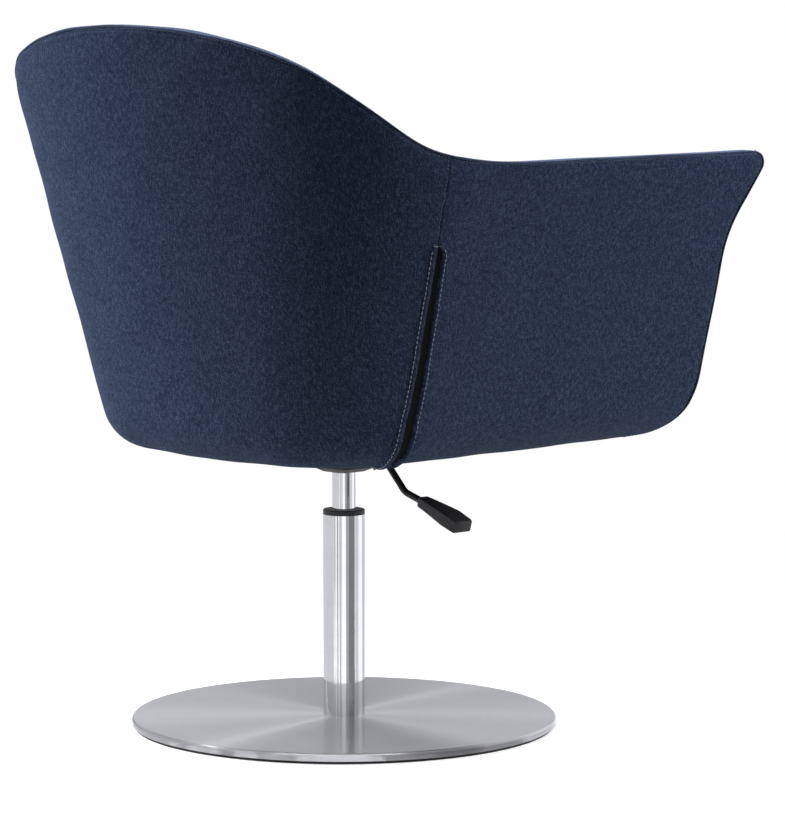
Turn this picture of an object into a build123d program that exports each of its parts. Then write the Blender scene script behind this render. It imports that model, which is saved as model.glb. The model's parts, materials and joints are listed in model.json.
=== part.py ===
from build123d import *
import os
from math import atan, cos, radians, sin, sqrt, tan

# Swivel accent chair: an upholstered bucket on a gas lift column and a weighted round base.
# Millimetres. +Z is up and the origin is on the floor, under the column. The sitter faces -Y,
# with the right hand on -X.

# Clearances
slip = 0.3                    # between soft or curved faces that lie against each other
fit = 0.1                     # round shafts, bushes and screws

# Round base
base_diameter = 508
base_height = 12              # top of the base cover above the floor
ring_height = 2.5
ring_width = 16
ring_setback = 3              # from the edge of the cover to the rubber ring
sheet_thickness = 1.2         # spun metal of the base cover
cover_edge_radius = 4
cover_lift = 0.8              # from the rubber ring up to the edge of the cover
base_bore = 18                # room round the end of the piston rod

# Column
tube_diameter = 50
tube_wall = 2
tube_top = 253
collar_height = 6
bush_length = 93
plug_height = 14
base_screw_count = 3
base_screw_circle = 32
base_screw_diameter = 8
base_screw_head = 13
base_screw_head_height = 4.5
base_screw_depth = 9          # thread held in the plug

# Thrust bearing under the piston rod
race_diameter = 26
race_thickness = 2
ball_diameter = 4
ball_circle = 17
ball_count = 8
cage_thickness = 1.6

# Gas lift
cylinder_diameter = 28
cylinder_bore = 22.6
cylinder_cap = 16
taper_end_diameter = 26.8
rod_diameter = 10
rod_end_diameter = 8
clip_diameter = 15
clip_thickness = 1
clip_groove = 6.4
piston_foot = 178
piston_height = 12
buffer_height = 10
gland_height = 14
release_pin_diameter = 6
release_pin_length = 30

# Mechanism under the seat
housing_drop = 34.2           # from the bucket's floor down to the housing's underside
taper_length = 29.5
housing_length = 62
housing_width = 56
housing_wall = 2.5
housing_corner = 9
housing_taper = 5             # height of the slope from the socket out to the sides
socket_diameter = 36
plate_length = 170
plate_width = 140
plate_thickness = 3
plate_corner = 18
plate_screw_pitch_x = 130
plate_screw_pitch_y = 96
plate_screw_diameter = 8
plate_screw_flats = 13
plate_screw_head_height = 5
nut_flange_diameter = 22
nut_flange_thickness = 1.5
nut_barrel_diameter = 10.5

# Lever
lever_pivot_x = -24
lever_rise = 9                # from the end of the cylinder up to the pivot
lever_pin_diameter = 5
lever_rod_diameter = 8
lever_boss_diameter = 13
lever_boss_width = 16
tongue_thickness = 4
tongue_width = 12
tongue_reach = 6              # past the middle of the release pin
lever_bend_x = -54
lever_drop_x = -108
lever_drop = 54               # from the pivot down to the lower bend
grip_slope = 16
grip_start = 26               # along the rod from the lower bend
grip_length = 92
grip_root_width = 17
grip_end_width = 29
grip_thickness = 13
grip_socket = 60
grip_edge = 2.5

# Bucket: its floor, its walls and the outline of its rim
seat_pitch = 1                # floor rises towards the front, degrees
floor_height = 338.7
floor_half_width = 236
floor_rear = 242
floor_corner = 149
top_corner = 220
bottom_radius = 55
side_flare = 15.9
back_recline = 12.3
plan_flare = 1.85             # arms open towards the front
back_bow = 819
section_front = -430
wall_rise = 511.3             # from the floor to the top section of the walls
back_rise = 493.8
arm_rise = 340.8              # where the arm meets the back
arm_turn_y = 30               # from here the arm rises to its tip
arm_turn_radius = 6000
arm_tilt = 0.85
arm_tip = -364
arm_tip_radius = 16
knee_y = -318
knee_drop = 96                # below the tip of the arm
knee_radius = 130
toe_y = -330
toe_rise = 2.8
toe_radius = 75

# Rim of the back, as it falls on an upright plane behind the chair
arch_distance = 420
arch_near_distance = 60
arch_crown_radius = 1600
arch_reach = 1100             # from the middle to where the arch meets the arms

# Upholstery layers, from outside in
cover_layer = 3.7
panel_layer = 12
pad_layer = 30
back_swell_floor = 50         # more padding at the foot of the back
back_swell_top = 5
band_height = 8
band_round = 4
band_round_start = 1.25       # above the toe, in toe radii, so that it ends clear of the toe's curve
hem_rise = 2
slit_width = 6
slit_drop = 92                # below the arm
back_hem = 10
arm_hem = 7
lining_thickness = 1.5
seam_foot_y = 141             # the seam line on the floor and at the arm height
seam_head_y = 146

# Seat
cover_turn = 70               # width of the cover turned under the floor
panel_turn = 34               # width of the bent panels that carry the board
board_thickness = 15
board_front = -250
dust_thickness = 2
dust_opening_length = 132
dust_opening_width = 74
dust_opening_x = -20
cushion_ease = 5
cushion_front = -313
cushion_front_bow = 1400      # radius of the front edge in plan
cushion_front_corner = 34
cushion_rise = 84             # thickness at the crown
cushion_waist = 40            # its widest level
cushion_foot_draw = 9         # sides draw in towards the foot and the top
cushion_head_draw = 8
cushion_crown_radius = 2400
cushion_top_round = 22
cushion_foot_round = 12

# Heights, levels and radii that follow from the sizes above
housing_bottom = floor_height - housing_drop
cylinder_top = housing_bottom + taper_length
lever_height = cylinder_top + lever_rise
loft_top = floor_height + wall_rise
back_height = floor_height + back_rise
arm_height = floor_height + arm_rise
tip_height = arm_height + (arm_turn_y - arm_tip) * tan(radians(arm_tilt))
knee_height = tip_height - knee_drop
toe_height = floor_height + toe_rise
slit_top = arm_height - slit_drop
base_radius = base_diameter / 2
tube_radius = tube_diameter / 2
tube_inner = tube_radius - tube_wall
cylinder_radius = cylinder_diameter / 2
plug_top = base_height + plug_height
ball_floor = plug_top + race_thickness
race_gap = ball_diameter + 2 * fit
upper_race = ball_floor + race_gap
rod_shoulder = upper_race + race_thickness
buffer_top = rod_shoulder + slip + buffer_height
cylinder_bottom = buffer_top + slip
panel_inset = cover_layer + slip
pad_inset = panel_inset + panel_layer + slip
cavity_inset = pad_inset + pad_layer
board_level = panel_inset + panel_layer + slip
board_top = board_level + board_thickness
plate_level = board_level - plate_thickness
cushion_level = board_top + nut_flange_thickness + slip
pitch = radians(seat_pitch)
floor_plane = Plane(origin=(0, 0, floor_height), x_dir=(1, 0, 0), z_dir=(0, sin(pitch), cos(pitch)))
span = base_diameter          # half length of a cutting body that spans the chair


def save(piece, name):
    piece.part.label = name
    export_step(piece.part, f"parts/{name}.step")


def facing_down(height):
    return Plane(origin=(0, 0, height), x_dir=(1, 0, 0), z_dir=(0, 0, -1))


def bucket_outline(level, inset, swell=0):
    """Plan outline of the bucket at a level: flaring sides, bowed back, round rear corners."""
    half_width = floor_half_width + level * tan(radians(side_flare))
    rear = floor_rear + level * tan(radians(back_recline)) - swell
    corner_y = rear - back_bow + sqrt(back_bow**2 - half_width**2)
    front_half_width = half_width + (corner_y - section_front) * tan(radians(plan_flare))
    corner = floor_corner + (top_corner - floor_corner) * level / wall_rise
    with BuildSketch() as outline:
        with BuildLine():
            Polyline(
                (-half_width, corner_y),
                (-front_half_width, section_front),
                (front_half_width, section_front),
                (half_width, corner_y),
            )
            ThreePointArc((half_width, corner_y), (0, rear), (-half_width, corner_y))
        make_face()
        fillet(outline.vertices().group_by(Axis.Y)[-1], radius=corner)
        offset(amount=-inset, kind=Kind.INTERSECTION)
    return outline.sketch


def bucket(inset):
    """The bucket's outer form, drawn in by an inset, with its round bottom edge."""
    with BuildPart() as form:
        with BuildSketch(floor_plane.offset(inset)):
            add(bucket_outline(inset, inset))
        with BuildSketch(Plane.XY.offset(loft_top)):
            add(bucket_outline(wall_rise, inset))
        loft(ruled=True)
        floor_edges = form.faces().sort_by(Axis.Z)[0].edges().sort_by(Axis.Y)[1:]
        fillet(floor_edges, radius=bottom_radius - inset)
    return form.part


def cavity(inset):
    """The space between the pads, open at the floor and at the top."""
    with BuildPart() as form:
        with BuildSketch(floor_plane):
            add(bucket_outline(0, inset, back_swell_floor))
        with BuildSketch(Plane.XY.offset(loft_top)):
            add(bucket_outline(wall_rise, inset, back_swell_top))
        loft(ruled=True)
    return form.part


def floor_slab(inset, swell, bottom, top):
    """A flat piece in the outline of the bucket's floor, between two levels above it."""
    with BuildPart() as form:
        with BuildSketch(floor_plane.offset(bottom)):
            add(bucket_outline(0, inset, swell))
        extrude(amount=top - bottom)
    return form.part


def arm_form(inset):
    """Everything inside the rim of the arms, seen from the side, drawn in by an inset."""
    toe_line = toe_height - (span - toe_y) * tan(pitch)
    with BuildPart() as form:
        with BuildSketch(Plane.YZ):
            with BuildLine():
                FilletPolyline(
                    (span, toe_line),
                    (span, arm_height),
                    (arm_turn_y, arm_height),
                    (arm_tip, tip_height),
                    (knee_y, knee_height),
                    (toe_y, toe_height),
                    radius=(0, 0, arm_turn_radius, arm_tip_radius, knee_radius, toe_radius),
                    close=True,
                )
            make_face()
            offset(amount=-inset)
            with Locations((span, toe_height + toe_radius)):
                Rectangle(span - toe_y - toe_radius, 2 * toe_radius, align=(Align.MAX, Align.MAX))
        extrude(amount=span, both=True)
    return form.part


def back_arch(distance, top):
    """The rim of the back as it falls on an upright plane, at a distance behind the column."""
    slope = 2 * atan((back_height - arm_height) / arch_reach)
    arch_foot_radius = arch_reach / sin(slope) - arch_crown_radius
    turn_x = arch_crown_radius * sin(slope)
    turn_height = top - arch_crown_radius * (1 - cos(slope))
    end_height = top - back_height + arm_height
    with BuildSketch() as arch:
        with BuildLine():
            RadiusArc((-turn_x, turn_height), (turn_x, turn_height), arch_crown_radius)
            RadiusArc((turn_x, turn_height), (arch_reach, end_height), -arch_foot_radius)
            RadiusArc((-arch_reach, end_height), (-turn_x, turn_height), -arch_foot_radius)
            Polyline(
                (-arch_reach, end_height),
                (-arch_reach, floor_height),
                (arch_reach, floor_height),
                (arch_reach, end_height),
            )
        make_face()
        scale(by=(distance / arch_distance, 1, 1))
    return arch.sketch


def rim_inside(inset):
    """Everything inside the rim of the arms and of the back, drawn in by an inset."""
    with BuildPart() as form:
        with BuildSketch(Plane.XZ.offset(-arch_near_distance)):
            add(back_arch(arch_near_distance, back_height - inset))
        with BuildSketch(Plane.XZ.offset(-span)):
            add(back_arch(span, back_height - inset))
        loft(ruled=True)
        add(arm_form(inset))
    return form.part


def seam_y(height, shift=0):
    """Where the rear corner seam runs at a height, moved back by a shift."""
    rise = (height - floor_height) / (arm_height - floor_height)
    return seam_foot_y + shift + (seam_head_y - seam_foot_y) * rise


def seam_slab(front, back, top):
    """A slab along the seam, between two shifts from it, up to a height."""
    bottom = floor_height - bottom_radius
    with BuildPart() as form:
        with BuildSketch(Plane.YZ):
            with BuildLine():
                Polyline(
                    (seam_y(bottom, front), bottom),
                    (seam_y(bottom, back), bottom),
                    (seam_y(top, back), top),
                    (seam_y(top, front), top),
                    close=True,
                )
            make_face()
        extrude(amount=span, both=True)
    return form.part


outer_form = bucket(0)
cover_inside = bucket(cover_layer)
panel_outside = bucket(panel_inset)
panel_inside = bucket(panel_inset + panel_layer)
pad_outside = bucket(pad_inset)
hem_outside = bucket(-hem_rise)
pad_cavity = cavity(cavity_inset)
rim_form = rim_inside(0)
inner_rim_form = rim_inside(band_height)
panel_rim_form = rim_inside(band_height + slip)
behind_seam = seam_slab(0, span, loft_top)
before_seam = seam_slab(-2 * span, -slip, loft_top)
right_half = Pos(-span, 0, 0) * Box(2 * span, 4 * span, 4 * span)
cover_opening = floor_slab(cover_turn, 0, -hem_rise - 1, bottom_radius)
back_opening = floor_slab(cavity_inset + panel_turn, back_swell_floor, 0, bottom_radius)
arm_opening = floor_slab(cavity_inset + panel_turn, 0, 0, bottom_radius)
rail_space = split(pad_cavity, bisect_by=Plane.XZ.offset(-board_front), keep=Keep.TOP)

os.makedirs("parts", exist_ok=True)

# Round base: rubber ring, steel plate and spun cover
with BuildPart() as floor_ring:
    with BuildSketch():
        Circle(base_radius - ring_setback)
        Circle(base_radius - ring_setback - ring_width, mode=Mode.SUBTRACT)
    extrude(amount=ring_height)
save(floor_ring, "floor_ring")

plate_top = base_height - sheet_thickness
with BuildPart() as base_plate:
    with BuildSketch(Plane.XY.offset(ring_height)):
        Circle(base_radius - cover_edge_radius - slip)
        Circle(base_bore / 2, mode=Mode.SUBTRACT)
    extrude(amount=plate_top - ring_height)
    with Locations(facing_down(ring_height)):
        with PolarLocations(base_screw_circle / 2, base_screw_count):
            CounterBoreHole(
                radius=base_screw_diameter / 2 + fit,
                counter_bore_radius=base_screw_head / 2 + slip,
                counter_bore_depth=base_screw_head_height + slip,
            )
save(base_plate, "base_plate")

with BuildPart() as base_cover:
    with BuildSketch(Plane.XZ):
        with BuildLine():
            FilletPolyline(
                (0, base_height),
                (base_radius, base_height),
                (base_radius, ring_height + cover_lift),
                radius=cover_edge_radius,
            )
            FilletPolyline(
                (0, plate_top),
                (base_radius - sheet_thickness, plate_top),
                (base_radius - sheet_thickness, ring_height + cover_lift),
                radius=cover_edge_radius - sheet_thickness,
            )
            Line((0, base_height), (0, plate_top))
            Line(
                (base_radius, ring_height + cover_lift),
                (base_radius - sheet_thickness, ring_height + cover_lift),
            )
        make_face()
    revolve(axis=Axis.Z)
    with Locations((0, 0, base_height)):
        Hole(base_bore / 2)
        with PolarLocations(base_screw_circle / 2, base_screw_count):
            Hole(base_screw_diameter / 2 + fit)
save(base_cover, "base_cover")

# Column tube with its plug, screws and guide bush
with BuildPart() as column_tube:
    with BuildSketch(Plane.XY.offset(base_height)):
        Circle(tube_radius)
        Circle(tube_inner, mode=Mode.SUBTRACT)
    extrude(amount=tube_top - base_height)
save(column_tube, "column_tube")

with BuildPart() as tube_plug:
    with BuildSketch(Plane.XY.offset(base_height)):
        Circle(tube_inner - fit)
        Circle(rod_end_diameter / 2 + fit, mode=Mode.SUBTRACT)
    extrude(amount=plug_height)
    with Locations(facing_down(base_height)):
        with PolarLocations(base_screw_circle / 2, base_screw_count):
            Hole(base_screw_diameter / 2 + fit, depth=base_screw_depth + fit)
save(tube_plug, "tube_plug")

with BuildPart() as base_screws:
    head_level = ring_height + slip
    with BuildSketch(facing_down(head_level)):
        with PolarLocations(base_screw_circle / 2, base_screw_count):
            Circle(base_screw_head / 2)
    extrude(amount=-base_screw_head_height)
    with BuildSketch(facing_down(head_level)):
        with PolarLocations(base_screw_circle / 2, base_screw_count):
            Circle(base_screw_diameter / 2)
    extrude(amount=head_level - base_height - base_screw_depth)
    with BuildSketch(facing_down(head_level)):
        with PolarLocations(base_screw_circle / 2, base_screw_count):
            RegularPolygon(base_screw_head / 4, 6)
    extrude(amount=-base_screw_head_height / 2, mode=Mode.SUBTRACT)
save(base_screws, "base_screws")

with BuildPart() as guide_bush:
    with BuildSketch(Plane.XY.offset(tube_top)):
        Circle(tube_radius)
    extrude(amount=collar_height)
    chamfer(guide_bush.edges().sort_by(Axis.Z)[-1], length=collar_height / 6)
    with BuildSketch(Plane.XY.offset(tube_top)):
        Circle(tube_inner - fit)
    extrude(amount=-bush_length)
    with Locations((0, 0, tube_top + collar_height)):
        Hole(cylinder_radius + fit)
save(guide_bush, "guide_bush")

# Thrust bearing
with BuildPart() as bearing_lower_race:
    with BuildSketch(Plane.XY.offset(plug_top)):
        Circle(race_diameter / 2)
        Circle(rod_end_diameter / 2 + slip, mode=Mode.SUBTRACT)
    extrude(amount=race_thickness)
save(bearing_lower_race, "bearing_lower_race")

with BuildPart() as bearing_balls:
    with Locations((0, 0, ball_floor + race_gap / 2)):
        with PolarLocations(ball_circle / 2, ball_count):
            Sphere(ball_diameter / 2)
save(bearing_balls, "bearing_balls")

with BuildPart() as bearing_cage:
    with BuildSketch(Plane.XY.offset(ball_floor + (race_gap - cage_thickness) / 2)):
        Circle(race_diameter / 2)
        Circle(rod_end_diameter / 2 + slip, mode=Mode.SUBTRACT)
        with PolarLocations(ball_circle / 2, ball_count):
            Circle(ball_diameter / 2 + fit, mode=Mode.SUBTRACT)
    extrude(amount=cage_thickness)
save(bearing_cage, "bearing_cage")

with BuildPart() as bearing_upper_race:
    with BuildSketch(Plane.XY.offset(upper_race)):
        Circle(race_diameter / 2)
        Circle(rod_end_diameter / 2 + fit, mode=Mode.SUBTRACT)
    extrude(amount=race_thickness)
save(bearing_upper_race, "bearing_upper_race")

# Piston rod and what turns with it
clip_top = base_height - fit
clip_bottom = clip_top - clip_thickness
piston_top = piston_foot + piston_height
with BuildPart() as piston_rod:
    with BuildSketch(Plane.XZ):
        with BuildLine():
            Polyline(
                (0, clip_bottom - 2 * clip_thickness),
                (rod_end_diameter / 2, clip_bottom - 2 * clip_thickness),
                (rod_end_diameter / 2, clip_bottom - fit),
                (clip_groove / 2, clip_bottom - fit),
                (clip_groove / 2, clip_top + fit),
                (rod_end_diameter / 2, clip_top + fit),
                (rod_end_diameter / 2, rod_shoulder),
                (rod_diameter / 2, rod_shoulder),
                (rod_diameter / 2, piston_top),
                (0, piston_top),
                close=True,
            )
        make_face()
    revolve(axis=Axis.Z)
save(piston_rod, "piston_rod")

with BuildPart() as rod_clip:
    with BuildSketch(Plane.XY.offset(clip_bottom)):
        Circle(clip_diameter / 2)
        Circle(clip_groove / 2 + fit, mode=Mode.SUBTRACT)
        with Locations((clip_diameter / 2, 0)):
            Rectangle(clip_diameter, clip_groove / 2, mode=Mode.SUBTRACT)
    extrude(amount=clip_thickness)
save(rod_clip, "rod_clip")

with BuildPart() as rod_buffer:
    with BuildSketch(Plane.XY.offset(rod_shoulder + slip)):
        Circle(race_diameter / 2)
        Circle(rod_diameter / 2 + fit, mode=Mode.SUBTRACT)
    extrude(amount=buffer_height)
    chamfer(rod_buffer.edges().group_by(Axis.Z)[-1].sort_by(SortBy.LENGTH)[-1], length=buffer_height / 5)
save(rod_buffer, "rod_buffer")

with BuildPart() as piston:
    with BuildSketch(Plane.XY.offset(piston_foot)):
        Circle(cylinder_bore / 2 - slip)
        Circle(rod_diameter / 2 + fit, mode=Mode.SUBTRACT)
    extrude(amount=piston_height)
save(piston, "piston")

# Gas cylinder with its tapered neck, gland and release pin
with BuildPart() as gas_cylinder:
    with BuildSketch(Plane.XZ):
        with BuildLine():
            Polyline(
                (cylinder_bore / 2, cylinder_bottom),
                (cylinder_radius, cylinder_bottom),
                (cylinder_radius, housing_bottom),
                (taper_end_diameter / 2, cylinder_top),
                (release_pin_diameter / 2 + fit, cylinder_top),
                (release_pin_diameter / 2 + fit, cylinder_top - cylinder_cap),
                (cylinder_bore / 2, cylinder_top - cylinder_cap),
                close=True,
            )
        make_face()
    revolve(axis=Axis.Z)
save(gas_cylinder, "gas_cylinder")

with BuildPart() as cylinder_gland:
    with BuildSketch(Plane.XY.offset(cylinder_bottom)):
        Circle(cylinder_bore / 2 - fit)
        Circle(rod_diameter / 2 + fit, mode=Mode.SUBTRACT)
    extrude(amount=gland_height)
save(cylinder_gland, "cylinder_gland")

pin_top = lever_height - tongue_thickness / 2 - slip
with BuildPart() as release_pin:
    with BuildSketch(Plane.XY.offset(pin_top)):
        Circle(release_pin_diameter / 2)
    extrude(amount=-release_pin_length)
    chamfer(release_pin.edges().sort_by(Axis.Z)[-1], length=release_pin_diameter / 4)
save(release_pin, "release_pin")

# Mechanism: taper socket, housing, mounting plate and its fasteners
with BuildPart() as taper_socket:
    with BuildSketch(Plane.XZ):
        with BuildLine():
            Polyline(
                (cylinder_radius + fit, housing_bottom),
                (socket_diameter / 2, housing_bottom),
                (socket_diameter / 2, cylinder_top),
                (taper_end_diameter / 2 + fit, cylinder_top),
                close=True,
            )
        make_face()
    revolve(axis=Axis.Z)
save(taper_socket, "taper_socket")

housing_top_plane = floor_plane.offset(plate_level)
housing_reach = floor_height + board_level - housing_bottom + housing_width
housing_neck = socket_diameter + 2 * housing_wall
with BuildPart() as hub_housing:
    with BuildSketch(Plane.XY.offset(housing_bottom)):
        RectangleRounded(housing_neck, housing_neck, housing_corner)
    with BuildSketch(Plane.XY.offset(housing_bottom + housing_taper)):
        RectangleRounded(housing_length, housing_width, housing_corner)
    loft(ruled=True)
    with BuildSketch(Plane.XY.offset(housing_bottom + housing_taper)):
        RectangleRounded(housing_length, housing_width, housing_corner)
    extrude(amount=housing_reach)
    with BuildSketch(Plane.XY.offset(housing_bottom + housing_taper + housing_wall)):
        RectangleRounded(
            housing_length - 2 * housing_wall,
            housing_width - 2 * housing_wall,
            housing_corner - housing_wall,
        )
    extrude(amount=housing_reach, mode=Mode.SUBTRACT)
    with Locations((0, 0, housing_bottom)):
        Hole(socket_diameter / 2 + fit)
    with BuildSketch(Plane.XZ):
        with Locations((lever_pivot_x, lever_height)):
            Circle(lever_pin_diameter / 2 + fit)
    extrude(amount=housing_width, both=True, mode=Mode.SUBTRACT)
    with BuildSketch(Plane.YZ):
        with Locations((0, lever_height)):
            SlotCenterToCenter(2 * lever_rod_diameter, 2 * lever_rod_diameter, rotation=90)
    extrude(amount=-housing_length, mode=Mode.SUBTRACT)
    split(bisect_by=housing_top_plane, keep=Keep.BOTTOM)
save(hub_housing, "hub_housing")

with BuildPart() as mount_plate:
    with BuildSketch(floor_plane.offset(plate_level)):
        RectangleRounded(plate_length, plate_width, plate_corner)
        Rectangle(
            housing_length - 4 * housing_wall,
            housing_width - 4 * housing_wall,
            mode=Mode.SUBTRACT,
        )
        with GridLocations(plate_screw_pitch_x, plate_screw_pitch_y, 2, 2):
            Circle(plate_screw_diameter / 2 + fit, mode=Mode.SUBTRACT)
    extrude(amount=plate_thickness)
save(mount_plate, "mount_plate")

with BuildPart() as plate_screws:
    with BuildSketch(floor_plane.offset(plate_level - plate_screw_head_height)):
        with GridLocations(plate_screw_pitch_x, plate_screw_pitch_y, 2, 2):
            RegularPolygon(plate_screw_flats / 2, 6, major_radius=False)
    extrude(amount=plate_screw_head_height)
    with BuildSketch(floor_plane.offset(plate_level)):
        with GridLocations(plate_screw_pitch_x, plate_screw_pitch_y, 2, 2):
            Circle(plate_screw_diameter / 2)
    extrude(amount=plate_thickness + board_thickness)
save(plate_screws, "plate_screws")

with BuildPart() as t_nuts:
    with BuildSketch(floor_plane.offset(board_top)):
        with GridLocations(plate_screw_pitch_x, plate_screw_pitch_y, 2, 2):
            Circle(nut_flange_diameter / 2)
    extrude(amount=nut_flange_thickness)
    with BuildSketch(floor_plane.offset(board_top)):
        with GridLocations(plate_screw_pitch_x, plate_screw_pitch_y, 2, 2):
            Circle(nut_barrel_diameter / 2)
    extrude(amount=-2 * board_thickness / 3)
    with BuildSketch(floor_plane.offset(board_top)):
        with GridLocations(plate_screw_pitch_x, plate_screw_pitch_y, 2, 2):
            Circle(plate_screw_diameter / 2 + fit)
    extrude(amount=-board_thickness, mode=Mode.SUBTRACT)
save(t_nuts, "t_nuts")

# Lever
with BuildPart() as lever_pin:
    with BuildSketch(Plane.XZ):
        with Locations((lever_pivot_x, lever_height)):
            Circle(lever_pin_diameter / 2)
    extrude(amount=housing_width / 2 + housing_wall / 2, both=True)
save(lever_pin, "lever_pin")

lower_bend_height = lever_height - lever_drop
grip_run = Vector(-cos(radians(grip_slope)), 0, -sin(radians(grip_slope)))
lower_bend = Vector(lever_drop_x, 0, lower_bend_height)
rod_tip = lower_bend + grip_run * (grip_start + grip_socket - slip)
with BuildPart() as lever_rod:
    with BuildLine() as lever_path:
        FilletPolyline(
            (lever_pivot_x, 0, lever_height),
            (lever_bend_x, 0, lever_height),
            lower_bend,
            rod_tip,
            radius=2.5 * lever_rod_diameter,
        )
    with BuildSketch(Plane(origin=(lever_pivot_x, 0, lever_height), z_dir=(-1, 0, 0))):
        Circle(lever_rod_diameter / 2)
    sweep()
    with BuildSketch(Plane.XZ):
        with Locations((lever_pivot_x, lever_height)):
            Circle(lever_boss_diameter / 2)
    extrude(amount=lever_boss_width / 2, both=True)
    with BuildSketch(Plane.XY.offset(lever_height)):
        with Locations((tongue_reach, 0)):
            Rectangle(tongue_reach - lever_pivot_x, tongue_width, align=(Align.MAX, Align.CENTER))
    extrude(amount=tongue_thickness / 2, both=True)
    with BuildSketch(Plane.XZ):
        with Locations((lever_pivot_x, lever_height)):
            Circle(lever_pin_diameter / 2 + fit)
    extrude(amount=lever_boss_width, both=True, mode=Mode.SUBTRACT)
save(lever_rod, "lever_rod")

grip_plane = Plane(
    origin=lower_bend + grip_run * grip_start,
    x_dir=grip_run,
    z_dir=(-sin(radians(grip_slope)), 0, cos(radians(grip_slope))),
)
with BuildPart() as lever_grip:
    with BuildSketch(grip_plane) as grip_outline:
        with BuildLine():
            Polyline(
                (0, -grip_root_width / 2),
                (grip_length, -grip_end_width / 2),
                (grip_length, grip_end_width / 2),
                (0, grip_root_width / 2),
                close=True,
            )
        make_face()
        fillet(grip_outline.vertices(), radius=2 * grip_edge)
    extrude(amount=grip_thickness / 2, both=True)
    fillet(lever_grip.faces().filter_by(grip_plane).edges(), radius=grip_edge)
    with BuildSketch(Plane(origin=grip_plane.origin, x_dir=grip_plane.y_dir, z_dir=grip_run)):
        Circle(lever_rod_diameter / 2 + fit)
    extrude(amount=grip_socket, mode=Mode.SUBTRACT)
save(lever_grip, "lever_grip")

# Bent panels of the back and the arms
with BuildPart() as back_panel:
    add(panel_outside)
    add(panel_inside, mode=Mode.SUBTRACT)
    add(panel_rim_form, mode=Mode.INTERSECT)
    add(behind_seam, mode=Mode.INTERSECT)
    add(back_opening, mode=Mode.SUBTRACT)
save(back_panel, "back_panel")

with BuildPart() as right_arm_panel:
    add(panel_outside)
    add(panel_inside, mode=Mode.SUBTRACT)
    add(panel_rim_form, mode=Mode.INTERSECT)
    add(before_seam, mode=Mode.INTERSECT)
    add(arm_opening, mode=Mode.SUBTRACT)
    add(rail_space, mode=Mode.SUBTRACT)
    add(right_half, mode=Mode.INTERSECT)
save(right_arm_panel, "right_arm_panel")

with BuildPart() as left_arm_panel:
    mirror(right_arm_panel.part, about=Plane.YZ)
save(left_arm_panel, "left_arm_panel")

# Seat board, front rail and dust cover
with BuildPart() as seat_board:
    add(floor_slab(cavity_inset + slip, back_swell_floor, board_level, board_top))
    split(bisect_by=Plane.XZ.offset(-board_front), keep=Keep.BOTTOM)
    with BuildSketch(floor_plane.offset(board_level)):
        with GridLocations(plate_screw_pitch_x, plate_screw_pitch_y, 2, 2):
            Circle(nut_barrel_diameter / 2 + fit)
    extrude(amount=board_thickness, mode=Mode.SUBTRACT)
save(seat_board, "seat_board")

with BuildPart() as front_rail:
    add(cavity(cavity_inset + slip))
    add(rim_form, mode=Mode.INTERSECT)
    split(bisect_by=Plane.XZ.offset(-board_front + slip), keep=Keep.TOP)
    split(bisect_by=floor_plane.offset(cushion_level - slip), keep=Keep.BOTTOM)
save(front_rail, "front_rail")

with BuildPart() as dust_cover:
    add(floor_slab(cover_turn + slip, 0, cover_layer - dust_thickness, cover_layer))
    split(bisect_by=Plane.XZ.offset(-board_front), keep=Keep.BOTTOM)
    with BuildSketch(floor_plane):
        with Locations((dust_opening_x, 0)):
            RectangleRounded(dust_opening_length, dust_opening_width, housing_corner)
    extrude(amount=cover_layer, mode=Mode.SUBTRACT)
save(dust_cover, "dust_cover")

# Outer covers, with turned hems along the slit below the rear corner seam
def cover_hem(slab):
    """A turned hem in a slab along the slit, standing proud of the cover."""
    with BuildPart() as hem:
        add(hem_outside)
        add(slab, mode=Mode.INTERSECT)
        add(cover_inside, mode=Mode.SUBTRACT)
    return hem.part


back_hem_slab = seam_slab(0, back_hem, slit_top)
slit_slab = seam_slab(-slit_width, 0, slit_top)
arm_hem_slab = seam_slab(-slit_width - arm_hem, -slit_width, slit_top)

with BuildPart() as back_cover:
    add(outer_form)
    add(cover_inside, mode=Mode.SUBTRACT)
    add(panel_rim_form, mode=Mode.INTERSECT)
    add(behind_seam, mode=Mode.INTERSECT)
    add(back_hem_slab, mode=Mode.SUBTRACT)
    add(cover_hem(back_hem_slab))
    add(cover_opening, mode=Mode.SUBTRACT)
save(back_cover, "back_cover")

with BuildPart() as right_arm_cover:
    add(outer_form)
    add(cover_inside, mode=Mode.SUBTRACT)
    add(panel_rim_form, mode=Mode.INTERSECT)
    add(before_seam, mode=Mode.INTERSECT)
    add(slit_slab, mode=Mode.SUBTRACT)
    add(arm_hem_slab, mode=Mode.SUBTRACT)
    add(cover_hem(arm_hem_slab))
    add(cover_opening, mode=Mode.SUBTRACT)
    add(rail_space, mode=Mode.SUBTRACT)
    add(right_half, mode=Mode.INTERSECT)
save(right_arm_cover, "right_arm_cover")

with BuildPart() as left_arm_cover:
    mirror(right_arm_cover.part, about=Plane.YZ)
save(left_arm_cover, "left_arm_cover")

# Dark lining at the bottom of each slit
with BuildPart() as right_slit_lining:
    add(bucket(cover_layer - lining_thickness))
    add(cover_inside, mode=Mode.SUBTRACT)
    add(seam_slab(-slit_width + slip, -slip, slit_top - slip), mode=Mode.INTERSECT)
    add(cover_opening, mode=Mode.SUBTRACT)
    add(right_half, mode=Mode.INTERSECT)
save(right_slit_lining, "right_slit_lining")

with BuildPart() as left_slit_lining:
    mirror(right_slit_lining.part, about=Plane.YZ)
save(left_slit_lining, "left_slit_lining")

# Inner pads of the back and the arms
with BuildPart() as back_pad:
    add(pad_outside)
    add(pad_cavity, mode=Mode.SUBTRACT)
    add(panel_rim_form, mode=Mode.INTERSECT)
    add(behind_seam, mode=Mode.INTERSECT)
save(back_pad, "back_pad")

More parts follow.
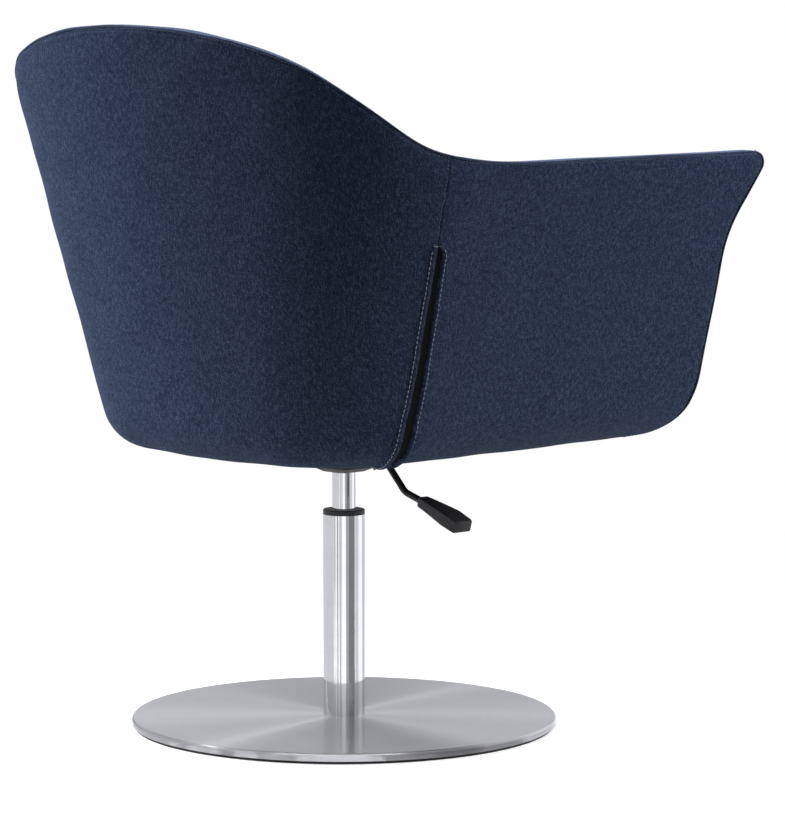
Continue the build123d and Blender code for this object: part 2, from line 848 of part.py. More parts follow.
with BuildPart() as right_arm_pad:
    add(pad_outside)
    add(pad_cavity, mode=Mode.SUBTRACT)
    add(panel_rim_form, mode=Mode.INTERSECT)
    add(before_seam, mode=Mode.INTERSECT)
    add(right_half, mode=Mode.INTERSECT)
save(right_arm_pad, "right_arm_pad")

with BuildPart() as left_arm_pad:
    mirror(right_arm_pad.part, about=Plane.YZ)
save(left_arm_pad, "left_arm_pad")

# Band sewn round the whole rim, rounded along both edges down to the toe of each arm
with BuildPart() as rim_strip:
    add(outer_form)
    add(pad_cavity, mode=Mode.SUBTRACT)
    add(rim_form, mode=Mode.INTERSECT)
    add(inner_rim_form, mode=Mode.SUBTRACT)

toe_plane = Plane.XY.offset(toe_height + band_round_start * toe_radius)
rim_skin = rim_inside(band_height / 4)
with BuildPart() as rim_band:
    add(rim_strip.part)
    split(bisect_by=toe_plane, keep=Keep.TOP)
    long_edges = rim_band.edges().filter_by(Axis.X, reverse=True)
    fillet(long_edges.filter_by(lambda edge: not rim_skin.is_inside(edge @ 0.5)), radius=band_round)
    add(split(rim_strip.part, bisect_by=toe_plane, keep=Keep.BOTTOM, mode=Mode.PRIVATE))
save(rim_band, "rim_band")


# Seat cushion: crowned, with sides that draw in below and above
def cushion_outline(level, draw):
    swell = back_swell_floor + (back_swell_top - back_swell_floor) * level / wall_rise
    with BuildSketch() as outline:
        add(bucket_outline(level, cavity_inset + cushion_ease + draw, swell))
        with Locations((0, cushion_front + draw + cushion_front_bow)):
            Circle(cushion_front_bow, mode=Mode.INTERSECT)
        fillet(outline.vertices().group_by(Axis.Y)[0], radius=cushion_front_corner)
    return outline.sketch


cushion_head = cushion_rise + cushion_top_round
cushion_sections = ((0, cushion_foot_draw), (cushion_waist, 0), (cushion_head, cushion_head_draw))
crown_plane = floor_plane.offset(cushion_level + cushion_rise - cushion_crown_radius)
with BuildPart() as seat_cushion:
    for rise, draw in cushion_sections:
        with BuildSketch(floor_plane.offset(cushion_level + rise)):
            add(cushion_outline(cushion_level + rise, draw))
    loft(ruled=True)
    with Locations(crown_plane.origin + Vector(0, cushion_front / 4, 0)):
        Sphere(cushion_crown_radius, mode=Mode.INTERSECT)
    fillet(seat_cushion.faces().filter_by(GeomType.SPHERE)[0].edges(), radius=cushion_top_round)
    fillet(seat_cushion.faces().sort_by(Axis.Z)[0].edges(), radius=cushion_foot_round)
save(seat_cushion, "seat_cushion")
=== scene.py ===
import json
from functools import lru_cache
from math import cos, pi, radians, sin, sqrt, tan

import bmesh
import bpy
import numpy as np
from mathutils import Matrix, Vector
from mathutils.bvhtree import BVHTree
from mathutils.kdtree import KDTree


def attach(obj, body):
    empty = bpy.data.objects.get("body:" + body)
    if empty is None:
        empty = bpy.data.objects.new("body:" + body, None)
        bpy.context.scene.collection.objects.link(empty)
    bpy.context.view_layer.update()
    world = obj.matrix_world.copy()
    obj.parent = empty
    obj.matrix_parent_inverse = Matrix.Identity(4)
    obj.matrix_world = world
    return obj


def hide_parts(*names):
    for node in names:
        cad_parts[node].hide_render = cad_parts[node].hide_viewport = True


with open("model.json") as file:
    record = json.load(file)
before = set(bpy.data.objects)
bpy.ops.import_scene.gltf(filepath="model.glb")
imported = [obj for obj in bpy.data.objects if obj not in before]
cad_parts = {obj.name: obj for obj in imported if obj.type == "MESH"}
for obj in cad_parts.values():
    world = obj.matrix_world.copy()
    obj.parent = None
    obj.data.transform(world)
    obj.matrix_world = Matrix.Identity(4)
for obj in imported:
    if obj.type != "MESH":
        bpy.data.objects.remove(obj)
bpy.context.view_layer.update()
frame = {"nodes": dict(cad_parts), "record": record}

# Swivel accent chair: upholstery, finishes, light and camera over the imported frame.
# Metres. +Z is up, the sitter faces -Y, and the right hand and the lever are on -X.

# The bucket's floor, walls and rim, near the solids' and fitted to the photograph
FLOOR_HEIGHT = 0.3387
SEAT_PITCH = radians(1)
FLOOR_HALF_WIDTH = 0.236
FLOOR_REAR = 0.242
FLOOR_CORNER = 0.149
TOP_CORNER = 0.220
BOTTOM_RADIUS = 0.055
SIDE_FLARE = radians(15.9)
BACK_RECLINE = radians(12.3)
PLAN_FLARE = radians(1.85)
BACK_BOW = 0.819
SECTION_FRONT = -0.430
WALL_RISE = 0.5113
ARM_TOP = FLOOR_HEIGHT + 0.3420
ARM_TURN_Y = 0.030
ARM_TURN_RADIUS = 6.0
ARM_TIP = -0.364
ARM_TIP_TOP = ARM_TOP + (ARM_TURN_Y - ARM_TIP) * tan(radians(0.95))
ARM_TIP_RADIUS = 0.016
KNEE_Y = -0.318
KNEE_HEIGHT = ARM_TIP_TOP - 0.096
KNEE_RADIUS = 0.130
TOE_Y = -0.330
TOE_HEIGHT = FLOOR_HEIGHT + 0.0028
TOE_RADIUS = 0.075
ARCH_DISTANCE = 0.420
ARCH_TOP = FLOOR_HEIGHT + 0.4873
ARCH_CROWN_RADIUS = 1.45
ARCH_SLOPE = radians(16.5)
RIM_SWEEP = 0.065               # how softly the arch runs out into the arms

# Upholstery
COVER_THICKNESS = 0.0034
COVER_TURN = 0.072              # how far the outer covers run in under the floor
COVER_CLEARANCE = 0.0022        # between an outer cover's face and the panel under it
PAD_THICKNESS = 0.026
BAND_THICKNESS = 0.0025
BAND_TUCK = 0.0028              # how far the band's edges turn in at its seams
BAND_ROUNDING = 0.0075
BAND_CROWN = 0.0015
RAIL_THICKNESS = 0.002
RAIL_REAR = -0.252
FELT_THICKNESS = 0.0008         # of the slit linings and the dust cloth
CAVITY_INSET = 0.0463
BACK_SWELL_FLOOR = 0.050
BACK_SWELL_TOP = 0.005
BAND_HEIGHT = 0.0036
RIM_FALL = 0.005                # the rim is lower on its inner side
EDGE_TURN = 0.0042              # the outer covers turn in towards the rim
EDGE_REACH = 0.040
ARM_REAR_ANGLE = radians(69)    # where the rim leaves the arm, round the column from the rear
TOE_TUCK = 7                    # steps of the arm's profile that the band runs on under the toe
SEAM_FOOT_Y = 0.124
SEAM_HEAD_Y = 0.139
SEAM_FOOT_SWEEP = 0.0065        # the seam runs rearwards near the floor
SLIT_TOP = ARM_TOP - 0.093
SLIT_WIDTH = 0.0080
SLIT_SPREAD = 0.0035            # the slit is wider at its foot
SEAM_OVERLAP = 0.0010
BACK_HEM = 0.0072
ARM_HEM = 0.0046
HEM_RISE = 0.0020
HEM_FOOT_RISE = 1.1             # share that a hem is thicker at the bottom edge
HEM_STEP = 0.0007               # half width of the step from a hem to the cloth
HEM_LIP = 0.0018                # how far the folded edge of a hem rounds off
CREASES = ((0.0024, 0.0016), (0.0008, 0.008))       # depth and reach of a seam's sharp and soft draw
CLOSED_SEAM = 0.28              # how much of that the closed rear seam has
GATHER_LENGTHS = (0.019, 0.027, 0.041)
GATHER_RISE = 0.00022
GATHER_REACH = 0.011
CUSHION_LEVEL = 0.0331
CUSHION_SEAMS = (0.30, 0.76)    # shares of its height
DUST_INSET = 0.0703
DUST_FRONT = -0.2495
DUST_HOLE = (-0.020, 0.066, 0.037)   # middle, half length and half width
DUST_SAG = 0.0035

# Threads and wire: pitch, length and radius
SLIT_STITCH = (0.0058, 0.0042, 0.00042)
BAR_STITCH = (0.0026, 0.0024, 0.0004)
SEAM_STITCH = (0.0044, 0.0031, 0.0003)
STAPLE = (0.034, 0.010, 0.00055)

FLOOR_UP = np.array((0, sin(SEAT_PITCH), cos(SEAT_PITCH)))
FLOOR_ORIGIN = np.array((0, 0, FLOOR_HEIGHT))
ARCH_TURN = ARCH_CROWN_RADIUS * sin(ARCH_SLOPE)


# Shape of the bucket

def plan_points(level, inset, swell):
    """Points round the plan at a level, from the right front round the back to the left front."""
    half_width = FLOOR_HALF_WIDTH + level * tan(SIDE_FLARE)
    rear = FLOOR_REAR + level * tan(BACK_RECLINE) - swell
    corner = FLOOR_CORNER + (TOP_CORNER - FLOOR_CORNER) * level / WALL_RISE
    bow_centre = np.array((0, rear - BACK_BOW))
    along = np.array((sin(PLAN_FLARE), cos(PLAN_FLARE)))
    inward = np.array((cos(PLAN_FLARE), -sin(PLAN_FLARE)))
    side_end = np.array((-half_width, bow_centre[1] + sqrt(BACK_BOW**2 - half_width**2)))
    foot = side_end + inward * corner - bow_centre
    lean = foot @ along
    run = sqrt(lean**2 - foot @ foot + (BACK_BOW - corner) ** 2) - lean
    centre = bow_centre + foot + along * run
    side_foot = centre - inward * (corner - inset)
    side_length = (side_foot[1] - SECTION_FRONT - inset) / along[1]
    side = side_foot - np.outer(np.linspace(side_length, 0, 30), along)
    to_corner = (centre - bow_centre) / np.linalg.norm(centre - bow_centre)
    turn_start = np.arctan2(-inward[1], -inward[0])
    turn_end = np.arctan2(to_corner[1], to_corner[0])
    turn = np.linspace(turn_start, turn_end, 41)[1:]
    bend = centre + (corner - inset) * np.stack((np.cos(turn), np.sin(turn)), 1)
    sweep = np.linspace(turn_end, pi / 2, 31)[1:]
    bow = bow_centre + (BACK_BOW - inset) * np.stack((np.cos(sweep), np.sin(sweep)), 1)
    right = np.concatenate((side, bend, bow))
    return np.concatenate((right, right[-2::-1] * (-1, 1)))


class Wall:
    """A ruled wall of the bucket, from its section on the floor to the one at the top."""

    def __init__(self, inset, edge, swell_floor=0.0, swell_top=0.0, rounded_foot=False):
        self.edge = edge
        low = plan_points(0, inset, swell_floor)
        high = plan_points(WALL_RISE, inset, swell_top)
        floor_y = np.array((0, cos(SEAT_PITCH), -sin(SEAT_PITCH)))
        self.low = FLOOR_ORIGIN + low[:, :1] * (1, 0, 0) + low[:, 1:] * floor_y
        self.high = np.column_stack((high, np.full(len(high), FLOOR_HEIGHT + WALL_RISE)))
        self.half = len(low) // 2 + 1
        self.rounded_foot = rounded_foot

    def contour(self, rise):
        return self.low + rise * (self.high - self.low)

    def slice(self, height):
        """The right half of the wall at one height."""
        low, high = self.low[: self.half], self.high[: self.half]
        rise = (height - low[:, 2]) / (high[:, 2] - low[:, 2])
        return low + rise[:, None] * (high - low)

    def at_y(self, y, height):
        """The point of the right wall at a depth and a height."""
        cut = self.slice(height)
        x = np.interp(y, cut[:, 1], cut[:, 0])
        level = (np.array((x, y, height)) - FLOOR_ORIGIN) @ FLOOR_UP
        if self.rounded_foot:
            x += foot_draw(level, SIDE_FLARE)
        return np.array((x, y, height))

    def at_angle(self, angle, height):
        """The point of the right wall seen at an angle from the rear, round the column."""
        cut = self.slice(height)
        angles = np.arctan2(-cut[:, 0], cut[:, 1])
        return np.array([np.interp(angle, angles[::-1], cut[::-1, axis]) for axis in range(3)])


def foot_draw(level, lean):
    """How far the rounded bottom edge draws the wall in at a level."""
    tangent_level = BOTTOM_RADIUS * (1 - sin(lean))
    level = min(max(level, 0), tangent_level)
    middle = BOTTOM_RADIUS * (tan(lean) - 1 / cos(lean))
    return level * tan(lean) - middle - sqrt(BOTTOM_RADIUS**2 - (BOTTOM_RADIUS - level) ** 2)


def rounded(points, radii, steps=14):
    """A polyline with its inner corners rounded."""
    line = [np.array(points[0])]
    for before, corner, after, radius in zip(points, points[1:], points[2:], radii):
        before, corner, after = np.array(before), np.array(corner), np.array(after)
        back = (before - corner) / np.linalg.norm(before - corner)
        on = (after - corner) / np.linalg.norm(after - corner)
        half = np.arccos(back @ on) / 2
        middle = corner + (back + on) / np.linalg.norm(back + on) * radius / sin(half)
        start = corner + back * radius / tan(half) - middle
        end = corner + on * radius / tan(half) - middle
        sweep = pi - 2 * half
        for t in np.linspace(0, 1, steps):
            line.append(middle + (start * sin((1 - t) * sweep) + end * sin(t * sweep)) / sin(sweep))
    line.append(np.array(points[-1]))
    return np.array(line)


def resampled(line, count):
    """A polyline with evenly spaced points."""
    run = np.concatenate(([0], np.cumsum(np.linalg.norm(np.diff(line, axis=0), axis=1))))
    spots = np.linspace(0, run[-1], count)
    return np.stack([np.interp(spots, run, line[:, axis]) for axis in range(line.shape[1])], 1)


def arm_profile(inset=0.0, count=420):
    """Depth and height along the edge of an arm, from under its toe, up the front and back over the top."""
    rear = 0.3
    line = rounded(
        (
            (rear, TOE_HEIGHT - (rear - TOE_Y) * tan(SEAT_PITCH)),
            (TOE_Y, TOE_HEIGHT),
            (KNEE_Y, KNEE_HEIGHT),
            (ARM_TIP, ARM_TIP_TOP),
            (ARM_TURN_Y, ARM_TOP),
            (rear, ARM_TOP),
        ),
        (TOE_RADIUS, KNEE_RADIUS, ARM_TIP_RADIUS, ARM_TURN_RADIUS),
    )
    line = resampled(line, count)
    heading = np.gradient(line, axis=0)
    heading /= np.linalg.norm(heading, axis=1, keepdims=True)
    return line + inset * np.stack((heading[:, 1], -heading[:, 0]), 1)


@lru_cache
def front_edge(inset):
    """The rising front edge of an arm, from its toe to its tip."""
    line = arm_profile(inset)
    line = line[: np.argmax(line[:, 1]) + 1]
    return line[line[:, 0] < TOE_Y + TOE_RADIUS]


def front_y(height, inset):
    """Depth of the front edge of an arm at a height."""
    edge = front_edge(inset)
    return np.interp(height, edge[:, 1], edge[:, 0])


@lru_cache
def arm_top_line():
    line = arm_profile()
    return line[np.argmax(line[:, 1]):]


def arm_top(y):
    """Height of the top of an arm at a depth."""
    line = arm_top_line()
    return np.interp(y, line[:, 0], line[:, 1])


def rim_height(x, y):
    """Height of the rim over a point of the plan."""
    reach = np.abs(x) * ARCH_DISTANCE / np.maximum(y, 0.03)
    crown = ARCH_TOP - ARCH_CROWN_RADIUS + np.sqrt(ARCH_CROWN_RADIUS**2 - np.minimum(reach, ARCH_TURN) ** 2)
    arch = crown - np.maximum(reach - ARCH_TURN, 0) * tan(ARCH_SLOPE)
    arm = arm_top(y)
    return (arch + arm + np.sqrt((arch - arm) ** 2 + RIM_SWEEP**2)) / 2


def seam_y(height):
    """Depth of the rear corner seam at a height."""
    rise = (height - FLOOR_HEIGHT) / (ARM_TOP - FLOOR_HEIGHT)
    sweep = SEAM_FOOT_SWEEP * np.clip(1 - rise / 0.3, 0, 1) ** 1.3
    return SEAM_FOOT_Y + (SEAM_HEAD_Y - SEAM_FOOT_Y) * rise + sweep


def slit_gap(height):
    """Width of the open slit below the rear corner seam. Above it the arm's cloth laps under the back's."""
    closing = np.clip((SLIT_TOP + 0.004 - height) / 0.012, 0, 1)
    width = SLIT_WIDTH + SLIT_SPREAD * (SLIT_TOP - height) / (SLIT_TOP - FLOOR_HEIGHT)
    return width * np.sqrt(closing) - SEAM_OVERLAP * (1 - closing)


outer_wall = Wall(0, BAND_HEIGHT, rounded_foot=True)
inner_wall = Wall(CAVITY_INSET, BAND_HEIGHT + RIM_FALL, BACK_SWELL_FLOOR, BACK_SWELL_TOP)

# Mesh tools

EDGE_SPOTS = np.array((
    0, 0.0005, 0.001, 0.0016, 0.0024, 0.0034, 0.0046, 0.0058, 0.0068,
    0.0078, 0.0086, 0.0092, 0.0098, 0.0104, 0.0112, 0.0125, 0.0145, 0.0175,
))
WALL_ROWS = 110


def spots_between(length, middle):
    """Places along a row: close together at both ends, even in between. A narrow strip has even ones."""
    reach = EDGE_SPOTS[-1]
    if length < 4 * reach:
        return np.linspace(0, length, middle)
    even = np.linspace(reach, length - reach, middle)[1:-1]
    return np.concatenate((EDGE_SPOTS, even, length - EDGE_SPOTS[::-1]))


def running_length(line):
    return np.concatenate(([0], np.cumsum(np.linalg.norm(np.diff(line, axis=0), axis=1))))


def along_line(line, run, spots):
    return np.stack([np.interp(spots, run, line[:, axis]) for axis in range(3)], 1)


def crossing(values, run):
    """Where values that rise along a run pass zero."""
    after = max(int(np.argmax(values > 0)), 1)
    before = after - 1
    return run[before] - values[before] * (run[after] - run[before]) / (values[after] - values[before])


def grid_normals(grid):
    normals = np.cross(np.gradient(grid, axis=1), np.gradient(grid, axis=0))
    return normals / np.maximum(np.linalg.norm(normals, axis=2, keepdims=True), 1e-12)


def new_object(name, mesh, body, slot, material=None):
    """A smooth piece that rides on a body. Its material is its slot's finish, unless another is given."""
    obj = bpy.data.objects.new(name, mesh)
    bpy.context.scene.collection.objects.link(obj)
    mesh.materials.clear()
    mesh.materials.append(material or FINISHES[slot])
    mesh.polygons.foreach_set("use_smooth", np.ones(len(mesh.polygons), bool))
    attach(obj, body)
    return obj


def mesh_from_grid(name, grid, uv=None, ring=False):
    """A quad mesh over rows and columns of points, with a map in metres."""
    rows, columns = grid.shape[:2]
    index = np.arange(rows * columns).reshape(rows, columns)
    if ring:
        index = np.column_stack((index, index[:, 0]))
    faces = np.stack((index[:-1, :-1], index[:-1, 1:], index[1:, 1:], index[1:, :-1]), -1).reshape(-1, 4)
    mesh = bpy.data.meshes.new(name)
    mesh.from_pydata(grid.reshape(-1, 3).tolist(), [], faces.tolist())
    if uv is not None:
        layer = mesh.uv_layers.new(name="cloth")
        layer.data.foreach_set("uv", uv.reshape(-1, 2)[faces.ravel()].astype(np.float32).ravel())
    mesh.validate()
    return mesh


def thicken(obj, thickness, offset=-1):
    shell = obj.modifiers.new("shell", "SOLIDIFY")
    shell.thickness = thickness
    shell.offset = offset
    shell.use_quality_normals = True


def wave_field(points, seed):
    """Slow random hills over points, about -1 to 1, the same on every run."""
    rng = np.random.default_rng(seed)
    field = np.zeros(points.shape[:-1])
    for _ in range(14):
        direction = rng.normal(size=3)
        direction /= np.linalg.norm(direction)
        field += np.sin(points @ direction * rng.uniform(30, 110) + rng.uniform(0, 2 * pi))
    return field / sqrt(14)


# Upholstery shapes

def wall_rows(wall, ends, middle):
    """Rows of points up a wall, each between two ends of its contour, and their distance from the first."""
    rows, spots = [], []
    for rise in np.linspace(0, 1, WALL_ROWS):
        line = wall.contour(rise)
        run = running_length(line)
        first, last = ends(line, run)
        at = spots_between(last - first, middle)
        rows.append(along_line(line, run, first + at))
        spots.append(at)
    return np.array(rows), np.array(spots)


def seam_spot(line, run, gap):
    """Where a contour comes within a gap of the rear corner seam."""
    half = len(line) // 2 + 1
    return crossing((line[:, 1] - seam_y(line[:, 2]) + gap)[:half], run[:half])


def back_ends(line, run):
    first = seam_spot(line, run, 0)
    return first, run[-1] - first


def front_spot(line, run, edge):
    """Where a contour passes the front edge of an arm."""
    half = len(line) // 2 + 1
    return crossing((line[:, 1] - front_y(line[:, 2], edge))[:half], run[:half])


def arm_ends(line, run):
    return front_spot(line, run, outer_wall.edge - 0.001), seam_spot(line, run, slit_gap(line[:, 2]))


def arm_pad_ends(line, run):
    return front_spot(line, run, inner_wall.edge), seam_spot(line, run, 0.0008)


class Patch:
    """A grid of points over part of a wall, with each point's distance from the patch's edges."""

    def __init__(self, wall, ends, middle, height_rows, foot):
        rows, spots = wall_rows(wall, ends, middle)
        levels = (rows - FLOOR_ORIGIN) @ FLOOR_UP
        tangent = np.gradient(rows[0], axis=0)
        inward = np.stack((tangent[:, 1], -tangent[:, 0], 0 * tangent[:, 0]), 1)
        inward /= np.linalg.norm(inward, axis=1, keepdims=True)
        columns = []
        for c in range(rows.shape[1]):
            line = (rows[:, c], spots[:, c], levels[:, c], inward[c])
            columns.append(self.column(*line, wall.edge, height_rows, foot))
        self.grid, self.start, self.level = (np.stack(part, 1) for part in zip(*columns))
        self.end = self.start[:, -1:] - self.start
        rise = np.linalg.norm(np.diff(self.grid, axis=0), axis=2)
        self.up = np.concatenate((np.zeros((1, rise.shape[1])), np.cumsum(rise, axis=0)))
        self.top = self.up[-1] - self.up

    def column(self, line, spots, level, inward, edge, height_rows, foot):
        top = crossing(line[:, 2] - rim_height(line[:, 0], line[:, 1]) + edge, level)
        lean_line = line[12] - line[0]
        lean = np.arctan(-(lean_line @ inward) / (lean_line @ FLOOR_UP))
        if foot:
            turn = np.linspace(0, pi / 2 - lean, 12)
            bend_level = BOTTOM_RADIUS * (1 - np.cos(turn))
            bend_draw = np.array([foot_draw(b, lean) for b in bend_level])
            under = np.linspace(COVER_TURN, bend_draw[0], 6)[:-1]
            start_level = bend_level[-1]
            low, draw = np.concatenate((0 * under, bend_level)), np.concatenate((under, bend_draw))
        else:
            start_level, low, draw = CUSHION_LEVEL, np.array([CUSHION_LEVEL]), np.zeros(1)
        even = np.linspace(start_level, top - EDGE_SPOTS[-1], height_rows)[1:-1]
        at = np.concatenate((low, even, top - EDGE_SPOTS[::-1]))
        draw = np.concatenate((draw, np.zeros(len(at) - len(draw))))
        points = along_line(line, level, at) + draw[:, None] * inward
        return points, np.interp(at, level, spots), at

    def keep(self, rows=slice(None), columns=slice(None)):
        """Keeps the rows and columns that are given, in their order."""
        for name in ("grid", "start", "level", "end", "up", "top"):
            setattr(self, name, getattr(self, name)[rows][:, columns])
        return self

    def flipped(self):
        """Turns the patch to face out of the bucket."""
        return self.keep(columns=slice(None, None, -1))

    def press(self, depth):
        """Moves the points along the patch's normals."""
        self.grid = self.grid + grid_normals(self.grid) * depth[:, :, None]

    def mapping(self):
        """The patch laid flat, as a map in metres."""
        return np.stack((self.start - self.start.mean(axis=1, keepdims=True), self.up), 2)


def smooth_step(low, high, value):
    t = np.clip((value - low) / (high - low), 0, 1)
    return t * t * (3 - 2 * t)


def crease(depth, draw=1.0):
    """A seam draws the cloth in beside it."""
    return -draw * sum(deep * np.exp(-depth / reach) for deep, reach in CREASES)


def hem_form(depth, width, patch):
    """Rise of a turned hem beside the slit, thicker round the bottom edge and flat under the floor."""
    rise = HEM_RISE * (1 + HEM_FOOT_RISE * smooth_step(0.06, 0.012, patch.level))
    rise = rise * smooth_step(0.002, 0.045, patch.up)
    body = rise * smooth_step(width + HEM_STEP, width - HEM_STEP, depth)
    pillow = 0.0004 * np.sin(pi * np.clip(depth / width, 0, 1))
    lip = -(rise + 0.0016) * np.clip(1 - depth / HEM_LIP, 0, 1) ** 2
    groove = -0.0006 * np.exp(-((depth - width) / HEM_STEP) ** 2)
    return body + pillow + lip + groove


def seam_form(depth, width, patch):
    """The slit's hem below, the closed seam above."""
    is_open = smooth_step(SLIT_TOP + 0.005, SLIT_TOP - 0.001, patch.grid[:, :, 2])
    return is_open * hem_form(depth, width, patch) + (1 - is_open) * crease(depth, CLOSED_SEAM)


def puckers(along, depth, seed):
    """Fine ripples where a seam gathers the cloth."""
    rng = np.random.default_rng(seed)
    ripple = 0
    for length in GATHER_LENGTHS:
        ripple = ripple + np.sin(2 * pi * along / length + rng.uniform(0, 6) + 1.5 * np.sin(along * 23))
    return GATHER_RISE * ripple * np.exp(-depth / GATHER_REACH)


MIRROR = np.array((-1, 1, 1))


def soft_piece(node, grid, uv, thickness, material=None):
    """A padded piece over a grid of points, in the place of its solid."""
    name = node + "_cloth"
    obj = new_object(name, mesh_from_grid(name, grid, uv), "seat", "navy_fabric", material)
    thicken(obj, thickness)
    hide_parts(node)


def soft_pair(node, grid, uv, thickness):
    """A padded piece on the right hand side and its mirror image on the left."""
    soft_piece("right_" + node, grid, uv, thickness)
    soft_piece("left_" + node, (grid * MIRROR)[:, ::-1], uv[:, ::-1], thickness)


def dress(patch, depth, seed):
    """Presses a patch to a depth, with the rim's seam, its gathers and a slight unevenness."""
    depth = depth + crease(patch.top) + puckers(patch.start, patch.top, seed)
    patch.press(depth + 0.0005 * wave_field(patch.grid, seed + 1))
    return patch


def edge_turn(drop):
    """How far an outer cover has turned in at a distance below the rim."""
    return EDGE_TURN * np.clip(1 - drop / EDGE_REACH, 0, 1) ** 3


def lift_off(patch, panel):
    """Keeps the top of an outer cover a little off the panel under it."""
    mesh = frame["nodes"][panel].data
    faces = [tuple(face.vertices) for face in mesh.polygons]
    tree = BVHTree.FromPolygons([corner.co for corner in mesh.vertices], faces)
    normals = grid_normals(patch.grid)
    outside = 0.02
    for row, column in np.argwhere(patch.top < 2 * EDGE_REACH):
        outward = Vector(normals[row, column])
        start = Vector(patch.grid[row, column]) + outside * outward
        far = tree.ray_cast(start, -outward, outside + 0.01)[3]
        if far is not None:
            patch.grid[row, column] += max(outside + COVER_CLEARANCE - far, 0) * normals[row, column]
    return patch


def back_cover_patch():
    patch = Patch(outer_wall, back_ends, 150, 96, foot=True).flipped()
    depth = seam_form(patch.start, BACK_HEM, patch) + seam_form(patch.end, BACK_HEM, patch)
    depth = depth + puckers(patch.up, patch.start, 3) + puckers(patch.up, patch.end, 4)
    return lift_off(dress(patch, depth - edge_turn(patch.top), 11), "back_panel")


def arm_cover_patch():
    patch = Patch(outer_wall, arm_ends, 104, 74, foot=True).flipped()
    depth = seam_form(patch.end, ARM_HEM, patch) + crease(patch.start, smooth_step(0.0, 0.035, patch.level))
    depth = depth + puckers(patch.up, patch.start, 5) + puckers(patch.up, patch.end, 6)
    return lift_off(dress(patch, depth - edge_turn(patch.top), 21), "right_arm_panel")


def pad_crown(patch, swell):
    """The stuffing fills a pad away from its edges."""
    edge = np.minimum(np.minimum(patch.start, patch.end), patch.top)
    return swell * (1 - np.exp(-edge / 0.028))


def back_pad_patch():
    patch = Patch(inner_wall, back_ends, 120, 86, foot=False)
    depth = crease(patch.start) + crease(patch.end) + pad_crown(patch, 0.006)
    return dress(patch, depth, 31)


def arm_pad_patch():
    patch = Patch(inner_wall, arm_pad_ends, 100, 64, foot=False)
    depth = crease(patch.start) + crease(patch.end) + pad_crown(patch, 0.005)
    return dress(patch, depth, 41)


def floor_z(y):
    return FLOOR_HEIGHT - y * tan(SEAT_PITCH)


def toe_start(edge, above):
    """The first point of an arm's profile that has risen a little above the floor, at the toe."""
    return int(np.argmax((edge[:, 1] > floor_z(edge[:, 0]) + above) & (edge[:, 0] < -0.2)))


def rim_line(wall, inset):
    """The rim along a wall, from the right toe up the arm and round the back to the left toe."""
    edge, inset_edge = arm_profile(), arm_profile(inset)
    first = toe_start(edge, 0.0008)
    tip = int(np.argmax(edge[:, 1]))
    last = int(np.argmax((edge[:, 0] > 0.1) & (edge[:, 1] > FLOOR_HEIGHT + 0.2)))
    corner = wall.at_angle(ARM_REAR_ANGLE, ARM_TOP - inset)
    line = []
    for i in range(first - TOE_TUCK, last):
        y, height = inset_edge[i]
        height = max(height, floor_z(y) + 0.0009)
        if i > tip:
            y = inset_edge[tip, 0] + (i - tip) / (last - tip) * (corner[1] - inset_edge[tip, 0])
            height = float(rim_height(corner[0], y)) - inset
        tucked = 0.0012 * min(max(first - i, 0), 2)
        line.append(wall.at_y(y, height) + (0, 0, tucked))
    for angle in np.linspace(ARM_REAR_ANGLE, 0, 130):
        height = float(rim_height(np.array(tan(angle)), np.array(1.0)))
        line.append(wall.at_angle(angle, height - inset))
    right = np.array(line)
    return np.concatenate((right, right[-2::-1] * MIRROR))


def rim_band_grid():
    """The band's cross-section from one seam over the crest to the other, all along the rim."""
    outer_seam, outer_rim = rim_line(outer_wall, BAND_HEIGHT), rim_line(outer_wall, 0)
    inner_seam, inner_rim = rim_line(inner_wall, BAND_HEIGHT + RIM_FALL), rim_line(inner_wall, RIM_FALL)
    across = (inner_rim - outer_rim) / np.linalg.norm(inner_rim - outer_rim, axis=1, keepdims=True)
    on_front = outer_rim[:, 1] < -0.25
    turned = across * edge_turn(np.where(on_front, ARM_TIP_TOP - outer_rim[:, 2], 0))[:, None]
    outer_seam, outer_rim = outer_seam + turned, outer_rim + turned
    width = np.linalg.norm(inner_rim - outer_rim, axis=1, keepdims=True)
    crest = outer_rim - outer_seam + inner_rim - inner_seam
    crest /= np.linalg.norm(crest, axis=1, keepdims=True)
    reach = np.minimum(BAND_ROUNDING, 0.3 * width)
    columns = []

    def side(seam, rim, inward):
        tuck = BAND_TUCK * inward
        yield seam + tuck - 0.05 * (rim - seam)
        yield seam + 0.35 * tuck + 0.03 * (rim - seam)
        yield seam + 0.14 * (rim - seam) - 0.0002 * inward
        start, end = seam + 0.3 * (rim - seam) - 0.0003 * inward, rim + reach * inward
        for t in np.linspace(0, 1, 7):
            yield (1 - t) ** 2 * start + 2 * t * (1 - t) * rim + t**2 * end

    columns.extend(side(outer_seam, outer_rim, across))
    for t in np.linspace(0, 1, 10)[1:-1]:
        flat = outer_rim + across * (reach + t * (width - 2 * reach))
        columns.append(flat + crest * BAND_CROWN * sin(pi * t))
    columns.extend(reversed(list(side(inner_seam, inner_rim, -across))))
    grid = np.stack(columns, 1)
    return grid + crest[:, None] * (0.00035 * wave_field(grid, 51))[:, :, None]


def grid_lengths(grid):
    """Running lengths along the columns and the rows of a grid, as a map in metres."""
    across, up = (np.linalg.norm(np.diff(grid, axis=axis), axis=2) for axis in (1, 0))
    u = np.concatenate((np.zeros((len(grid), 1)), np.cumsum(across, 1)), 1)
    v = np.concatenate((np.zeros((1, grid.shape[1])), np.cumsum(up, 0)))
    return np.stack((u - u[:, -1:] / 2, v), 2)


